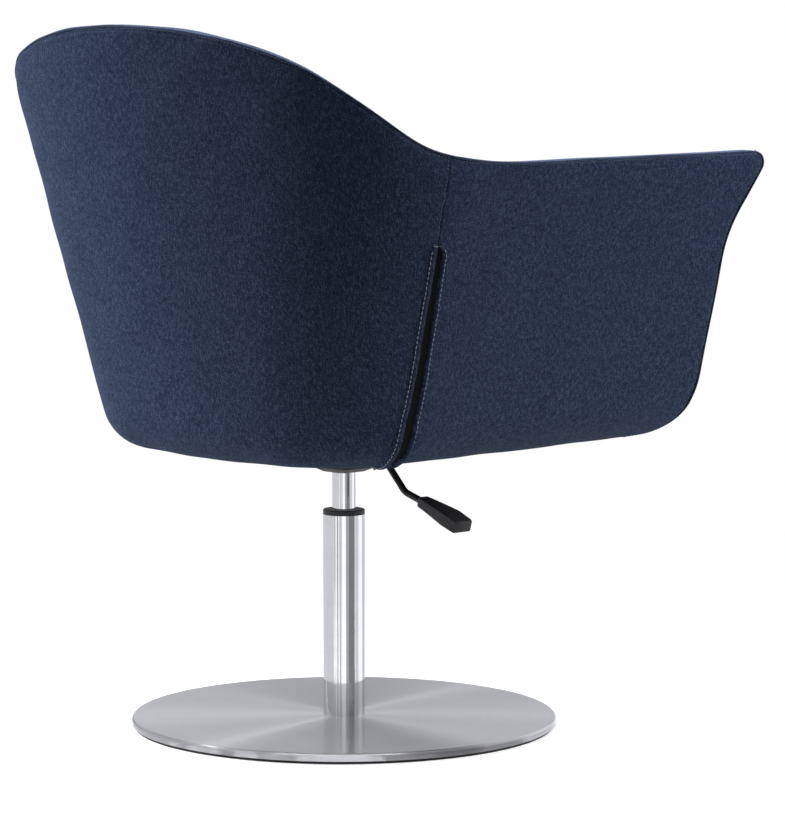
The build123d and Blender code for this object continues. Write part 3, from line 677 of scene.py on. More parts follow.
def front_rail_grid():
    """The rail under the front of the cushion: from below, round the toe and back over the top."""
    edge = arm_profile()
    face = edge[toe_start(edge, 0.0004):]
    top = (CUSHION_LEVEL - 0.0006) / cos(SEAT_PITCH)
    face = face[face[:, 1] < floor_z(face[:, 0]) + top]
    rows = [(RAIL_REAR, floor_z(RAIL_REAR) + 0.0004)]
    rows.extend(face[::3])
    for y in (*(face[-1, 0] + np.array((0.0006, 0.003, 0.008, 0.02))), RAIL_REAR):
        rows.append((y, floor_z(y) + top))
    lines = []
    for y, height in rows:
        end = inner_wall.at_y(y, height)[0] + 0.0008
        lines.append([(x, y, height) for x in end * np.cos(np.linspace(0, pi, 90))])
    grid = np.array(lines)
    middle = np.sin(np.linspace(0, pi, 90)) ** 0.35
    push = 0.0012 * middle * np.sin(np.linspace(0, pi, len(grid)))[:, None]
    grid = grid - grid_normals(grid) * push[:, :, None]
    drawn = grid.mean(axis=0, keepdims=True) - grid
    right = [grid[:, :1] + drawn[:, :1] * share for share in (0.98, 0.03)]
    left = [grid[:, -1:] + drawn[:, -1:] * share for share in (0.03, 0.98)]
    return np.concatenate((*right, grid, *left), axis=1)


# Seams, linings, cushion and dust cover

STITCH_SPOTS = np.array((-0.5, -0.36, 0.0, 0.36, 0.5))
STITCH_LIFT = np.array((-0.7, 0.3, 0.75, 0.3, -0.7))
STITCH_WIDTH = np.array((0.4, 0.9, 1.0, 0.9, 0.4))
STITCH_SIDES = 7


def stitch_row(points, normals, pitch, length, radius):
    """Corners and faces of a row of stitches along a line on the cloth."""
    run = running_length(points)
    centres = np.arange(pitch / 2, run[-1] - pitch / 2, pitch)
    spots = centres[:, None] + length * STITCH_SPOTS
    at = along_line(points, run, spots.ravel()).reshape(*spots.shape, 3)
    up = along_line(normals, run, spots.ravel()).reshape(*spots.shape, 3)
    forward = np.gradient(at, axis=1)
    side = np.cross(forward, up)
    side /= np.linalg.norm(side, axis=2, keepdims=True)
    middle = at + up * (STITCH_LIFT * radius)[:, None] + side * (0.25 * radius * STITCH_SPOTS)[:, None]
    width = (STITCH_WIDTH * radius)[:, None]
    corners = []
    for turn in np.arange(STITCH_SIDES) * 2 * pi / STITCH_SIDES:
        corners.append(middle + (side * cos(turn) + 0.8 * up * sin(turn)) * width)
    corners = np.stack(corners, 2)
    count, rings, sides = corners.shape[:3]
    index = np.arange(count * rings * sides).reshape(count, rings, sides)
    ahead = np.roll(index, -1, axis=2)
    quads = np.stack((index[:, :-1], ahead[:, :-1], ahead[:, 1:], index[:, 1:]), -1).reshape(-1, 4)
    caps = np.concatenate((index[:, 0, ::-1], index[:, -1]))
    return corners.reshape(-1, 3), quads.tolist() + caps.tolist()


def stitches(name, rows, material, size):
    """All the stitches of one thread, on both sides of the chair."""
    points, faces, first = [], [], 0
    for line, normals in rows:
        for hand in (1, MIRROR):
            corners, more = stitch_row(line * hand, normals * hand, *size)
            points.append(corners)
            faces.extend([first + i for i in face] for face in more)
            first += len(corners)
    mesh = bpy.data.meshes.new(name)
    mesh.from_pydata(np.concatenate(points).tolist(), [], faces)
    tidy = bmesh.new()
    tidy.from_mesh(mesh)
    bmesh.ops.recalc_face_normals(tidy, faces=tidy.faces)
    tidy.to_mesh(mesh)
    tidy.free()
    new_object(name, mesh, "seat", "navy_fabric", material)


def seam_row(patch, distances, distance, low=0.0, high=9.0):
    """The line on a patch at a distance from one of its edges, between two heights, with its normals."""
    normals = grid_normals(patch.grid)
    rows, up = [], []
    for r in range(len(patch.grid)):
        near = np.argsort(np.abs(distances[r] - distance))[:2]
        d = distances[r, near]
        t = np.clip((distance - d[0]) / (d[1] - d[0]), 0, 1) if d[1] != d[0] else 0.0
        point = patch.grid[r, near[0]] * (1 - t) + patch.grid[r, near[1]] * t
        if low < point[2] < high:
            rows.append(point)
            up.append(normals[r, near[0]])
    return np.array(rows), np.array(up)


def top_row(patch, distance):
    """The line on a patch at a distance below its top edge, with its normals."""
    r = int(np.argmin(np.abs(patch.top[:, 0] - distance)))
    right = patch.grid[r, :, 0] < 0
    return patch.grid[r, right], grid_normals(patch.grid)[r, right]


def hem_head(patch, distances, width):
    """The line across a hem at the head of the slit, from its edge inwards, with its normals."""
    edge = int(np.argmin(distances[0]))
    r = int(np.argmin(np.abs(patch.grid[:, edge, 2] - SLIT_TOP - 0.003)))
    inside = np.argsort(distances[r])[: int(np.sum(distances[r] < width))]
    return patch.grid[r, inside], grid_normals(patch.grid)[r, inside]


def bar_row(back, arm):
    """The bar of stitches that closes the head of the slit, over both hems."""
    back_line, back_up = hem_head(back, back.start, BACK_HEM)
    arm_line, arm_up = hem_head(arm, arm.end, ARM_HEM)
    return np.concatenate((back_line[::-1], arm_line)), np.concatenate((back_up[::-1], arm_up))


def lining_ends(line, run):
    first, last = seam_spot(line, run, SLIT_WIDTH + SLIT_SPREAD + 0.004), seam_spot(line, run, 0)
    return first, last + 0.005


def slit_linings():
    """Dark felt behind the slit, slack between the two hems."""
    patch = Patch(outer_wall, lining_ends, 9, 90, foot=True).flipped()
    patch.keep(rows=patch.grid[:, :, 2].max(axis=1) < SLIT_TOP + 0.006)
    hollow = np.sin(pi * np.clip(patch.start / patch.start.max(), 0, 1))
    patch.press(-0.0024 - 0.0002 * hollow)
    uv = patch.mapping()
    sides = {"right": (patch.grid, uv), "left": ((patch.grid * MIRROR)[:, ::-1], uv[:, ::-1])}
    for side, (grid, flat) in sides.items():
        mesh = mesh_from_grid(side + "_slit_felt", grid, flat)
        obj = new_object(side + "_slit_felt", mesh, "seat", "dark_lining")
        thicken(obj, FELT_THICKNESS)
        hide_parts(side + "_slit_lining")


def stuffed(node, shrink, voxel, pressure, cap):
    """The mesh of a cushion's solid, blown up from a slightly smaller one by a short cloth run."""
    mesh = frame["nodes"][node].data.copy()
    mesh.materials.clear()
    points = mesh_points(mesh)
    middle = (points.min(axis=0) + points.max(axis=0)) / 2
    mesh.vertices.foreach_set("co", (middle + (points - middle) * shrink).ravel())
    obj = bpy.data.objects.new("stuffing", mesh)
    bpy.context.scene.collection.objects.link(obj)
    remesh = obj.modifiers.new("remesh", "REMESH")
    remesh.voxel_size = voxel
    applied(obj)
    before = mesh_points(obj.data)
    cloth = obj.modifiers.new("cloth", "CLOTH").settings
    cloth.quality = 6
    cloth.mass = 0.25
    cloth.tension_stiffness = cloth.compression_stiffness = 18
    cloth.bending_stiffness = 1.2
    cloth.use_pressure = True
    cloth.uniform_pressure_force = pressure
    cloth.effector_weights.gravity = 0
    for step in range(1, 21):
        bpy.context.scene.frame_set(step)
    applied(obj)
    bpy.context.scene.frame_set(1)
    move = mesh_points(obj.data) - before
    far = np.maximum(np.linalg.norm(move, axis=1, keepdims=True), 1e-9)
    obj.data.vertices.foreach_set("co", (before + move * np.minimum(1, cap / far)).ravel())
    smooth = obj.modifiers.new("smooth", "SMOOTH")
    smooth.factor = 0.5
    smooth.iterations = 4
    finer = obj.modifiers.new("finer", "SUBSURF")
    finer.levels = finer.render_levels = 1
    applied(obj)
    mesh = obj.data
    bpy.data.objects.remove(obj)
    return mesh


def applied(obj):
    """Works an object's modifiers into its mesh."""
    graph = bpy.context.evaluated_depsgraph_get()
    mesh = bpy.data.meshes.new_from_object(obj.evaluated_get(graph))
    obj.modifiers.clear()
    obj.data = mesh


def mesh_points(mesh):
    points = np.empty(len(mesh.vertices) * 3)
    mesh.vertices.foreach_get("co", points)
    return points.reshape(-1, 3)


def seat_cushion():
    """The loose cushion: crowned, with a sewn edge all round its top panel and another round its foot."""
    mesh = stuffed("seat_cushion", shrink=0.985, voxel=0.0055, pressure=4.0, cap=0.007)
    points = mesh_points(mesh)
    low, high = points.min(axis=0), points.max(axis=0)
    tree = BVHTree.FromPolygons(points.tolist(), [tuple(face.vertices) for face in mesh.polygons])
    middle = (low + high) / 2
    push = np.zeros(len(points))
    normals = np.empty(len(points) * 3)
    mesh.vertices.foreach_get("normal", normals)
    normals = normals.reshape(-1, 3)
    for rise in CUSHION_SEAMS:
        line = []
        for angle in np.linspace(0, 2 * pi, 721):
            outward = Vector((cos(angle), sin(angle), -sin(angle) * tan(SEAT_PITCH)))
            start = Vector(middle) + Vector((0, 0, (rise - 0.5) * (high[2] - low[2]))) + outward * 0.6
            hit = tree.ray_cast(start, -outward)[0]
            if hit is not None:
                line.append(hit)
        nearest = KDTree(len(line))
        for i, point in enumerate(line):
            nearest.insert(point, i)
        nearest.balance()
        distance = np.array([nearest.find(point)[2] for point in points])
        push -= 0.0032 * np.exp(-((distance / 0.0030) ** 2)) + 0.0012 * np.exp(-distance / 0.010)
    push += 0.0006 * wave_field(points, 71)
    mesh.vertices.foreach_set("co", (points + normals * push[:, None]).ravel())
    obj = new_object("seat_cushion_cover", mesh, "seat", "navy_fabric", NAVY_CUSHION)
    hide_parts("seat_cushion")


def dust_cover():
    """Black cloth stapled under the floor, with a hole round the mechanism."""
    turns = np.linspace(0, 2 * pi, 161)[:-1]
    outline = plan_points(0, DUST_INSET, 0)
    rear = outline[outline[:, 1] > DUST_FRONT]
    front = [(-rear[0, 0], DUST_FRONT), (rear[0, 0], DUST_FRONT)]
    closed = np.concatenate((rear, front, rear[:1]))
    middle = np.array((DUST_HOLE[0], 0))
    edge, hole = [], []
    for turn in turns:
        away = np.array((cos(turn), sin(turn)))
        edge.append(middle + away * reach_of(closed, middle, away))
        square = (abs(away[0] / DUST_HOLE[1]) ** 6 + abs(away[1] / DUST_HOLE[2]) ** 6) ** (-1 / 6)
        hole.append(middle + away * square)
    edge, hole = np.array(edge), np.array(hole)
    rows = []
    for t in np.linspace(0, 1, 26):
        flat = hole + t * (edge - hole)
        level = 0.0030 - DUST_SAG * np.sin(pi * t) ** 0.8 * (0.75 + 0.25 * np.sin(3 * turns))
        x, y = flat[:, 0], flat[:, 1]
        on_floor = FLOOR_ORIGIN + np.stack((x, y * cos(SEAT_PITCH), -y * sin(SEAT_PITCH)), 1)
        rows.append(on_floor + level[:, None] * FLOOR_UP)
    grid = np.array(rows)
    uv = np.stack((grid[:, :, 0], grid[:, :, 1]), 2)
    obj = new_object("dust_cloth", mesh_from_grid("dust_cloth", grid, uv, ring=True), "seat", "dark_lining")
    thicken(obj, FELT_THICKNESS, 1)
    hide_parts("dust_cover")
    line = np.concatenate((grid[-2], grid[-2, :1])) - 0.0006 * FLOOR_UP
    staples("dust_staples", line, np.tile(-FLOOR_UP, (len(line), 1)))


def staples(name, line, normals):
    """Wire staples along the edge of the dust cloth."""
    corners, faces = stitch_row(line, normals, *STAPLE)
    mesh = bpy.data.meshes.new(name)
    mesh.from_pydata(corners.tolist(), [], faces)
    new_object(name, mesh, "seat", "bare_steel")


def reach_of(outline, start, away):
    """How far a ray in the plan goes before it meets a closed outline."""
    best = 0.0
    for first, second in zip(outline, outline[1:]):
        side = second - first
        cross = away[0] * side[1] - away[1] * side[0]
        if abs(cross) < 1e-12:
            continue
        to_first = first - start
        far = (to_first[0] * side[1] - to_first[1] * side[0]) / cross
        along = (to_first[0] * away[1] - to_first[1] * away[0]) / cross
        if far > 0 and -1e-9 <= along <= 1 + 1e-9:
            best = max(best, far)
    return best


# Lever grip

GRIP_SLOPE = radians(16)
GRIP_ROOT = np.array((-0.1365, 0, 0.2808))
GRIP_EDGE = 0.0013
GRIP_SECTIONS = (               # distance from the root, half width, top and bottom
    (0.0000, 0.0062, 0.0056, -0.0052), (0.0022, 0.0076, 0.0064, -0.0060), (0.0090, 0.0084, 0.0066, -0.0062),
    (0.0210, 0.0100, 0.0068, -0.0068), (0.0400, 0.0124, 0.0070, -0.0084), (0.0510, 0.0136, 0.0070, -0.0094),
    (0.0715, 0.0136, 0.0046, -0.0104), (0.0740, 0.0128, 0.0038, -0.0096),
)


def lever_handle():
    """The moulded grip on the lever: it widens and thickens from its neck, and its top falls to the end."""
    along = np.array((-cos(GRIP_SLOPE), 0, -sin(GRIP_SLOPE)))
    across, up = np.array((0, 1, 0)), np.array((-sin(GRIP_SLOPE), 0, cos(GRIP_SLOPE)))
    rings = []
    for run, half, top, bottom in GRIP_SECTIONS:
        rear = ((half, bottom + GRIP_EDGE), (half, top - GRIP_EDGE), (half - GRIP_EDGE, top))
        front = ((-half + GRIP_EDGE, top), (-half, top - GRIP_EDGE), (-half, bottom + GRIP_EDGE))
        ring = (*rear, *front, (-half + GRIP_EDGE, bottom), (half - GRIP_EDGE, bottom))
        rings.append([GRIP_ROOT + along * run + across * side + up * height for side, height in ring])
    form = bmesh.new()
    corners = [[form.verts.new(point) for point in ring] for ring in rings]
    for ring, following in zip(corners, corners[1:]):
        for i in range(8):
            form.faces.new((ring[i - 1], ring[i], following[i], following[i - 1]))
    form.faces.new(corners[0])
    form.faces.new(corners[-1][::-1])
    bmesh.ops.recalc_face_normals(form, faces=form.faces)
    bends = [edge for edge in form.edges if edge.calc_face_angle() > radians(20)]
    bmesh.ops.bevel(form, geom=bends, offset=0.0005, segments=2, affect="EDGES", profile=0.6)
    mesh = bpy.data.meshes.new("lever_handle")
    form.to_mesh(mesh)
    form.free()
    obj = new_object("lever_handle", mesh, "lever", "black_plastic")
    obj.data.set_sharp_from_angle(angle=radians(35))
    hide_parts("lever_grip")


# Finishes

def put(tree, kind, inputs=None, **settings):
    """Adds a node: sockets given as values are set, sockets given as sockets are linked."""
    node = tree.nodes.new(kind)
    for key, value in settings.items():
        setattr(node, key, value)
    for key, value in (inputs or {}).items():
        if isinstance(value, bpy.types.NodeSocket):
            tree.links.new(value, node.inputs[key])
        else:
            node.inputs[key].default_value = value
    return node


def maths(tree, operation, first, second=0.0, third=0.0):
    return put(tree, "ShaderNodeMath", {0: first, 1: second, 2: third}, operation=operation).outputs[0]


def mixed(tree, factor, first, second):
    node = put(tree, "ShaderNodeMix", data_type="RGBA")
    for index, value in ((0, factor), (6, first), (7, second)):
        if isinstance(value, bpy.types.NodeSocket):
            tree.links.new(value, node.inputs[index])
        else:
            node.inputs[index].default_value = value if index == 0 else (*value, 1)
    return node.outputs[2]


def noise(tree, vector, scale, detail=2.0, roughness=0.5, dimensions="3D"):
    inputs = {"Vector": vector, "Scale": scale, "Detail": detail, "Roughness": roughness}
    return put(tree, "ShaderNodeTexNoise", inputs, noise_dimensions=dimensions).outputs["Fac"]


def object_point(tree):
    return put(tree, "ShaderNodeTexCoord").outputs["Object"]


def ramp(tree, factor, stops):
    node = put(tree, "ShaderNodeValToRGB", {"Fac": factor})
    elements = node.color_ramp.elements
    while len(elements) < len(stops):
        elements.new(0.5)
    for element, (place, colour) in zip(elements, stops):
        element.position = place
        element.color = (*colour, 1)
    return node.outputs["Color"]


def group(name, inputs, outputs):
    tree = bpy.data.node_groups.new(name, "ShaderNodeTree")
    kinds = {"vector": "NodeSocketVector", "value": "NodeSocketFloat", "colour": "NodeSocketColor"}
    for label, kind in inputs:
        tree.interface.new_socket(label, in_out="INPUT", socket_type=kinds[kind])
    for label, kind in outputs:
        tree.interface.new_socket(label, in_out="OUTPUT", socket_type=kinds[kind])
    return tree, tree.nodes.new("NodeGroupInput").outputs, tree.nodes.new("NodeGroupOutput").inputs


def place(tree, group_tree, inputs):
    return put(tree, "ShaderNodeGroup", inputs, node_tree=group_tree).outputs


def form_map_group():
    """Lays a flat map on a form by the way its surface faces."""
    tree, _, outputs = group("form map", [], [("Map", "vector")])
    coordinates = tree.nodes.new("ShaderNodeTexCoord")
    at = put(tree, "ShaderNodeSeparateXYZ", {0: coordinates.outputs["Object"]}).outputs
    normal = coordinates.outputs["Normal"]
    facing = put(tree, "ShaderNodeVectorMath", {0: normal}, operation="ABSOLUTE").outputs[0]
    face = put(tree, "ShaderNodeSeparateXYZ", {0: facing}).outputs
    sideways = maths(tree, "GREATER_THAN", face[0], face[1])
    flat = maths(tree, "GREATER_THAN", face[2], maths(tree, "MAXIMUM", face[0], face[1]))
    across = maths(tree, "MULTIPLY_ADD", maths(tree, "SUBTRACT", at[1], at[0]), sideways, at[0])
    across = maths(tree, "MULTIPLY_ADD", maths(tree, "SUBTRACT", at[0], across), flat, across)
    up = maths(tree, "MULTIPLY_ADD", maths(tree, "SUBTRACT", at[1], at[2]), flat, at[2])
    tree.links.new(put(tree, "ShaderNodeCombineXYZ", {0: across, 1: up}).outputs[0], outputs["Map"])
    return tree


def weave_group():
    """Twill of melange yarns, mostly warp: each yarn keeps its own tone for a while and then drifts."""
    tree, inputs, outputs = group(
        "melange weave",
        [("Map", "vector"), ("Yarn", "value"), ("Drift", "value")],
        [("Tone", "value"), ("Height", "value")],
    )
    at = put(tree, "ShaderNodeSeparateXYZ", {0: inputs["Map"]}).outputs
    warp = maths(tree, "DIVIDE", at[0], inputs["Yarn"])
    weft = maths(tree, "DIVIDE", at[1], inputs["Yarn"])
    warp_number, weft_number = maths(tree, "FLOOR", warp), maths(tree, "FLOOR", weft)
    step = maths(tree, "FLOORED_MODULO", maths(tree, "ADD", warp_number, weft_number), 3.0)
    over = maths(tree, "GREATER_THAN", step, 0.5)
    warp_round = maths(tree, "SINE", maths(tree, "MULTIPLY", maths(tree, "FRACT", warp), pi))
    weft_round = maths(tree, "SINE", maths(tree, "MULTIPLY", maths(tree, "FRACT", weft), pi))
    warp_lift = maths(tree, "MULTIPLY", warp_round, maths(tree, "MULTIPLY_ADD", over, 0.6, 0.4))
    weft_lift = maths(tree, "MULTIPLY", weft_round, maths(tree, "MULTIPLY_ADD", over, -0.6, 1.0))
    tree.links.new(maths(tree, "MAXIMUM", warp_lift, weft_lift), outputs["Height"])
    tones = []
    for number, along, offset in ((warp_number, weft, 3.1), (weft_number, warp, 71.7)):
        place_on_yarn = put(tree, "ShaderNodeCombineXYZ", {
            0: maths(tree, "MULTIPLY_ADD", number, 7.31, offset),
            1: maths(tree, "MULTIPLY", along, inputs["Drift"]),
        }).outputs[0]
        tones.append(noise(tree, place_on_yarn, 1.0, 1.5, 0.6, "2D"))
    tone = maths(tree, "MULTIPLY_ADD", maths(tree, "SUBTRACT", tones[0], tones[1]), over, tones[1])
    tree.links.new(tone, outputs["Tone"])
    return tree


def edge_wear_group():
    """A mask along the edges of a hard piece, broken up by noise."""
    tree, inputs, outputs = group("edge wear", [("Amount", "value")], [("Mask", "value")])
    sharp = put(tree, "ShaderNodeNewGeometry").outputs["Pointiness"]
    broken = noise(tree, object_point(tree), 260.0, 4.0, 0.6)
    lifted = maths(tree, "MULTIPLY_ADD", maths(tree, "SUBTRACT", broken, 0.5), 0.12, sharp)
    edge = put(tree, "ShaderNodeMapRange", {0: lifted, 1: 0.54, 2: 0.66, 3: 0.0, 4: 1.0}).outputs[0]
    tree.links.new(maths(tree, "MULTIPLY", edge, inputs["Amount"]), outputs["Mask"])
    return tree


def turned_lines_group():
    """Fine rings round the column, as brushing or turning leaves them."""
    results = [("Line", "value"), ("Cloud", "value")]
    tree, inputs, outputs = group("turned lines", [("Density", "value")], results)
    at = object_point(tree)
    flat = put(tree, "ShaderNodeVectorMath", {0: at, 1: (1, 1, 0)}, operation="MULTIPLY").outputs[0]
    radius = put(tree, "ShaderNodeVectorMath", {0: flat}, operation="LENGTH").outputs["Value"]
    ring = maths(tree, "MULTIPLY", radius, inputs["Density"])
    wander = noise(tree, at, 6.0, 1.0)
    rings = put(tree, "ShaderNodeCombineXYZ", {0: ring, 1: maths(tree, "MULTIPLY", wander, 3.0)}).outputs[0]
    tree.links.new(noise(tree, rings, 1.0, 3.0, 0.7, "2D"), outputs["Line"])
    tree.links.new(noise(tree, at, 14.0, 3.0), outputs["Cloud"])
    return tree


def grain_group():
    """Fine pebble grain of a moulded or powder coated surface."""
    results = [("Height", "value"), ("Cloud", "value")]
    tree, inputs, outputs = group("fine grain", [("Scale", "value")], results)
    at = object_point(tree)
    tree.links.new(noise(tree, at, inputs["Scale"], 3.0, 0.65), outputs["Height"])
    tree.links.new(noise(tree, at, 45.0, 3.0, 0.6), outputs["Cloud"])
    return tree


FORM_MAP = form_map_group()
WEAVE = weave_group()
EDGE_WEAR = edge_wear_group()
TURNED_LINES = turned_lines_group()
GRAIN = grain_group()


def new_material(name):
    material = bpy.data.materials.new(name)
    material.use_nodes = True
    return material, material.node_tree, material.node_tree.nodes["Principled BSDF"]


def feed(tree, shader, **sockets):
    for name, value in sockets.items():
        socket = shader.inputs[name.replace("_", " ")]
        if isinstance(value, bpy.types.NodeSocket):
            tree.links.new(value, socket)
        else:
            socket.default_value = value


def relief(tree, shader, height, strength, distance):
    bump = put(tree, "ShaderNodeBump", {"Height": height, "Strength": strength, "Distance": distance})
    tree.links.new(bump.outputs[0], shader.inputs["Normal"])


def woven_navy(name, by_form=False, sheen=0.09):
    """Navy melange cloth with a soft, pale sheen at grazing angles, and painted shade that darkens its
    colour in the gaps between the yarns.
    """
    material, tree, shader = new_material(name)
    if by_form:
        cloth = place(tree, FORM_MAP, {})["Map"]
    else:
        cloth = put(tree, "ShaderNodeUVMap", uv_map="cloth").outputs[0]
    weave = place(tree, WEAVE, {"Map": cloth, "Yarn": 0.0009, "Drift": 0.16})
    cloud = noise(tree, cloth, 14.0, 2.0, 0.5)
    tone = maths(tree, "MULTIPLY_ADD", maths(tree, "SUBTRACT", cloud, 0.5), 0.06, weave["Tone"])
    yarn = ramp(tree, tone, (
        (0.30, (0.0085, 0.0130, 0.0290)),
        (0.45, (0.0185, 0.0275, 0.0560)),
        (0.57, (0.0300, 0.0430, 0.0830)),
        (0.72, (0.0700, 0.0930, 0.1520)),
    ))
    # painted shade: the yarn colour is darkened where the weave is low, in the gaps between yarns
    painted_gap_shade = maths(tree, "MULTIPLY_ADD", weave["Height"], 0.4, 0.66)
    colour = put(tree, "ShaderNodeVectorMath", {0: yarn, "Scale": painted_gap_shade}, operation="SCALE").outputs[0]
    rough = maths(tree, "MULTIPLY_ADD", tone, -0.2, 0.95)
    feed(tree, shader, Base_Color=colour, Roughness=rough, Sheen_Weight=sheen, Sheen_Roughness=0.35,
         Sheen_Tint=(0.5, 0.65, 1.0, 1), Specular_IOR_Level=0.05)
    relief(tree, shader, weave["Height"], 0.55, 0.0005)
    return material


def dark_lining():
    """Black felt-like lining, slightly fibrous."""
    material, tree, shader = new_material("dark_lining")
    at = object_point(tree)
    fibre = noise(tree, at, 900.0, 4.0, 0.7)
    colour = ramp(tree, fibre, ((0.3, (0.004, 0.004, 0.005)), (0.7, (0.017, 0.017, 0.019))))
    feed(tree, shader, Base_Color=colour, Roughness=0.95, Specular_IOR_Level=0.1)
    relief(tree, shader, fibre, 0.5, 0.0004)
    return material


def sewing_thread(name, dark, light):
    """Twisted thread: a fine slanted ply along each stitch."""
    material, tree, shader = new_material(name)
    twist = {"Vector": object_point(tree), "Scale": 420.0, "Distortion": 1.5}
    ply = put(tree, "ShaderNodeTexWave", twist, bands_direction="DIAGONAL").outputs["Fac"]
    colour = ramp(tree, ply, ((0.1, dark), (0.7, light)))
    feed(tree, shader, Base_Color=colour, Roughness=0.7, Sheen_Weight=0.3)
    relief(tree, shader, ply, 0.4, 0.0002)
    return material


def plywood():
    """Raw birch plywood: long grain with darker pores."""
    material, tree, shader = new_material("plywood")
    at = object_point(tree)
    long_way = put(tree, "ShaderNodeMapping", {"Vector": at, "Scale": (1.0, 0.12, 1.0)}).outputs[0]
    figure = noise(tree, long_way, 60.0, 5.0, 0.6)
    pores = noise(tree, long_way, 620.0, 2.0, 0.5)
    colour = mixed(tree, maths(tree, "MULTIPLY", pores, 0.4), (0.52, 0.36, 0.2), (0.3, 0.19, 0.1))
    colour = mixed(tree, figure, colour, (0.62, 0.46, 0.28))
    feed(tree, shader, Base_Color=colour, Roughness=maths(tree, "MULTIPLY_ADD", pores, 0.2, 0.55))
    relief(tree, shader, pores, 0.25, 0.0003)
    return material


def brushed_stainless():
    """Stainless sheet brushed in circles round the column."""
    material, tree, shader = new_material("brushed_stainless")
    lines = place(tree, TURNED_LINES, {"Density": 1500.0})
    cloud = maths(tree, "MULTIPLY_ADD", lines["Cloud"], 0.06, 0.33)
    tone = maths(tree, "MULTIPLY_ADD", lines["Line"], 0.2, cloud)
    cool = maths(tree, "MULTIPLY", tone, 1.05)
    colour = put(tree, "ShaderNodeCombineColor", {0: tone, 1: tone, 2: cool}).outputs[0]
    rough = maths(tree, "MULTIPLY_ADD", lines["Line"], 0.10, 0.26)
    round_column = put(tree, "ShaderNodeTangent", direction_type="RADIAL", axis="Z").outputs[0]
    feed(tree, shader, Base_Color=colour, Metallic=1.0, Roughness=rough, Anisotropic=1.0,
         Anisotropic_Rotation=0.25, Tangent=round_column, Coat_Weight=0.45, Coat_Roughness=0.1)
    relief(tree, shader, lines["Line"], 0.06, 0.0002)
    return material


def chrome():
    """Polished chrome with the faintest handling marks."""
    material, tree, shader = new_material("chrome")
    at = object_point(tree)
    smudge = noise(tree, at, 38.0, 5.0, 0.65)
    rough = put(tree, "ShaderNodeMapRange", {0: smudge, 1: 0.45, 2: 0.75, 3: 0.035, 4: 0.11}).outputs[0]
    colour = ramp(tree, smudge, ((0.3, (0.78, 0.78, 0.79)), (0.7, (0.72, 0.725, 0.735))))
    feed(tree, shader, Base_Color=colour, Metallic=1.0, Roughness=rough)
    return material


def bare_steel():
    """Turned and zinc plated steel of the hidden fittings."""
    material, tree, shader = new_material("bare_steel")
    lines = place(tree, TURNED_LINES, {"Density": 2600.0})
    worn = place(tree, EDGE_WEAR, {"Amount": 0.5})["Mask"]
    tone = mixed(tree, lines["Line"], (0.36, 0.36, 0.37), (0.56, 0.56, 0.55))
    colour = mixed(tree, worn, tone, (0.75, 0.75, 0.74))
    rough = maths(tree, "MULTIPLY_ADD", lines["Cloud"], 0.2, 0.25)
    feed(tree, shader, Base_Color=colour, Metallic=1.0, Roughness=rough)
    relief(tree, shader, lines["Line"], 0.1, 0.0001)
    return material


def black_finish(name, tone, grain_scale, grain_depth, dullness, wear):
    """Black powder coat, moulded plastic or rubber: fine grain, uneven gloss and paler, rubbed edges."""
    material, tree, shader = new_material(name)
    grain = place(tree, GRAIN, {"Scale": grain_scale})
    worn = place(tree, EDGE_WEAR, {"Amount": wear})["Mask"]
    base = mixed(tree, grain["Cloud"], tuple(0.7 * c for c in tone), tuple(1.35 * c for c in tone))
    colour = mixed(tree, worn, base, (0.16, 0.16, 0.165))
    rough = maths(tree, "MULTIPLY_ADD", grain["Cloud"], 0.22, dullness - 0.11)
    feed(tree, shader, Base_Color=colour, Roughness=rough, Specular_IOR_Level=0.3)
    relief(tree, shader, grain["Height"], 0.35, grain_depth)
    return material


FINISHES = {
    "navy_fabric": woven_navy("navy_fabric"),
    "dark_lining": dark_lining(),
    "plywood": plywood(),
    "brushed_stainless": brushed_stainless(),
    "chrome": chrome(),
    "bare_steel": bare_steel(),
    "black_metal": black_finish("black_metal", (0.013, 0.013, 0.014), 1900.0, 0.00012, 0.42, 0.35),
    "black_plastic": black_finish("black_plastic", (0.015, 0.015, 0.017), 1300.0, 0.00015, 0.48, 0.25),
    "black_rubber": black_finish("black_rubber", (0.016, 0.016, 0.016), 700.0, 0.0002, 0.8, 0.15),
}
NAVY_CUSHION = woven_navy("navy_cushion", by_form=True)
NAVY_BAND = woven_navy("navy_band", sheen=0.5)
PALE_THREAD = sewing_thread("pale_thread", (0.20, 0.22, 0.27), (0.52, 0.55, 0.62))
NAVY_THREAD = sewing_thread("navy_thread", (0.03, 0.04, 0.07), (0.12, 0.15, 0.21))


def finish_solids():
    """Gives each solid of the frame the finish of its slot."""
    for part in frame["record"]["subparts"]:
        mesh = frame["nodes"][part["node"]].data
        mesh.materials.clear()
        mesh.materials.append(FINISHES[part["material_slot"]])


# Stage: floor, light and camera

PHOTO_AZIMUTH = radians(228.4)
TOWARDS_CAMERA = Vector((sin(PHOTO_AZIMUTH), -cos(PHOTO_AZIMUTH), 0))
IMAGE_RIGHT = Vector((cos(PHOTO_AZIMUTH), sin(PHOTO_AZIMUTH), 0))
CAMERA_DISTANCE = 4.267
CAMERA_HEIGHT = 0.809
LONG_SIDE = 824
FOCAL_PIXELS = 3604
AIM_RIGHT = 0.0136              # slopes from the level line of sight to the picture's middle
AIM_DOWN = 0.10174

AMBIENT = 0.38
FLOOR_GLOW = 0.36
FLOOR_REACH = 9.0


def seen_directly(tree):
    """One for what the camera sees, also in a mirror or through glass."""
    path = put(tree, "ShaderNodeLightPath").outputs
    mirrored = maths(tree, "MAXIMUM", path["Is Glossy Ray"], path["Is Transmission Ray"])
    return maths(tree, "MAXIMUM", path["Is Camera Ray"], mirrored)


def glow(tree, strength):
    shown = maths(tree, "MULTIPLY", seen_directly(tree), strength)
    return put(tree, "ShaderNodeEmission", {"Color": (1, 1, 1, 1), "Strength": shown}).outputs[0]


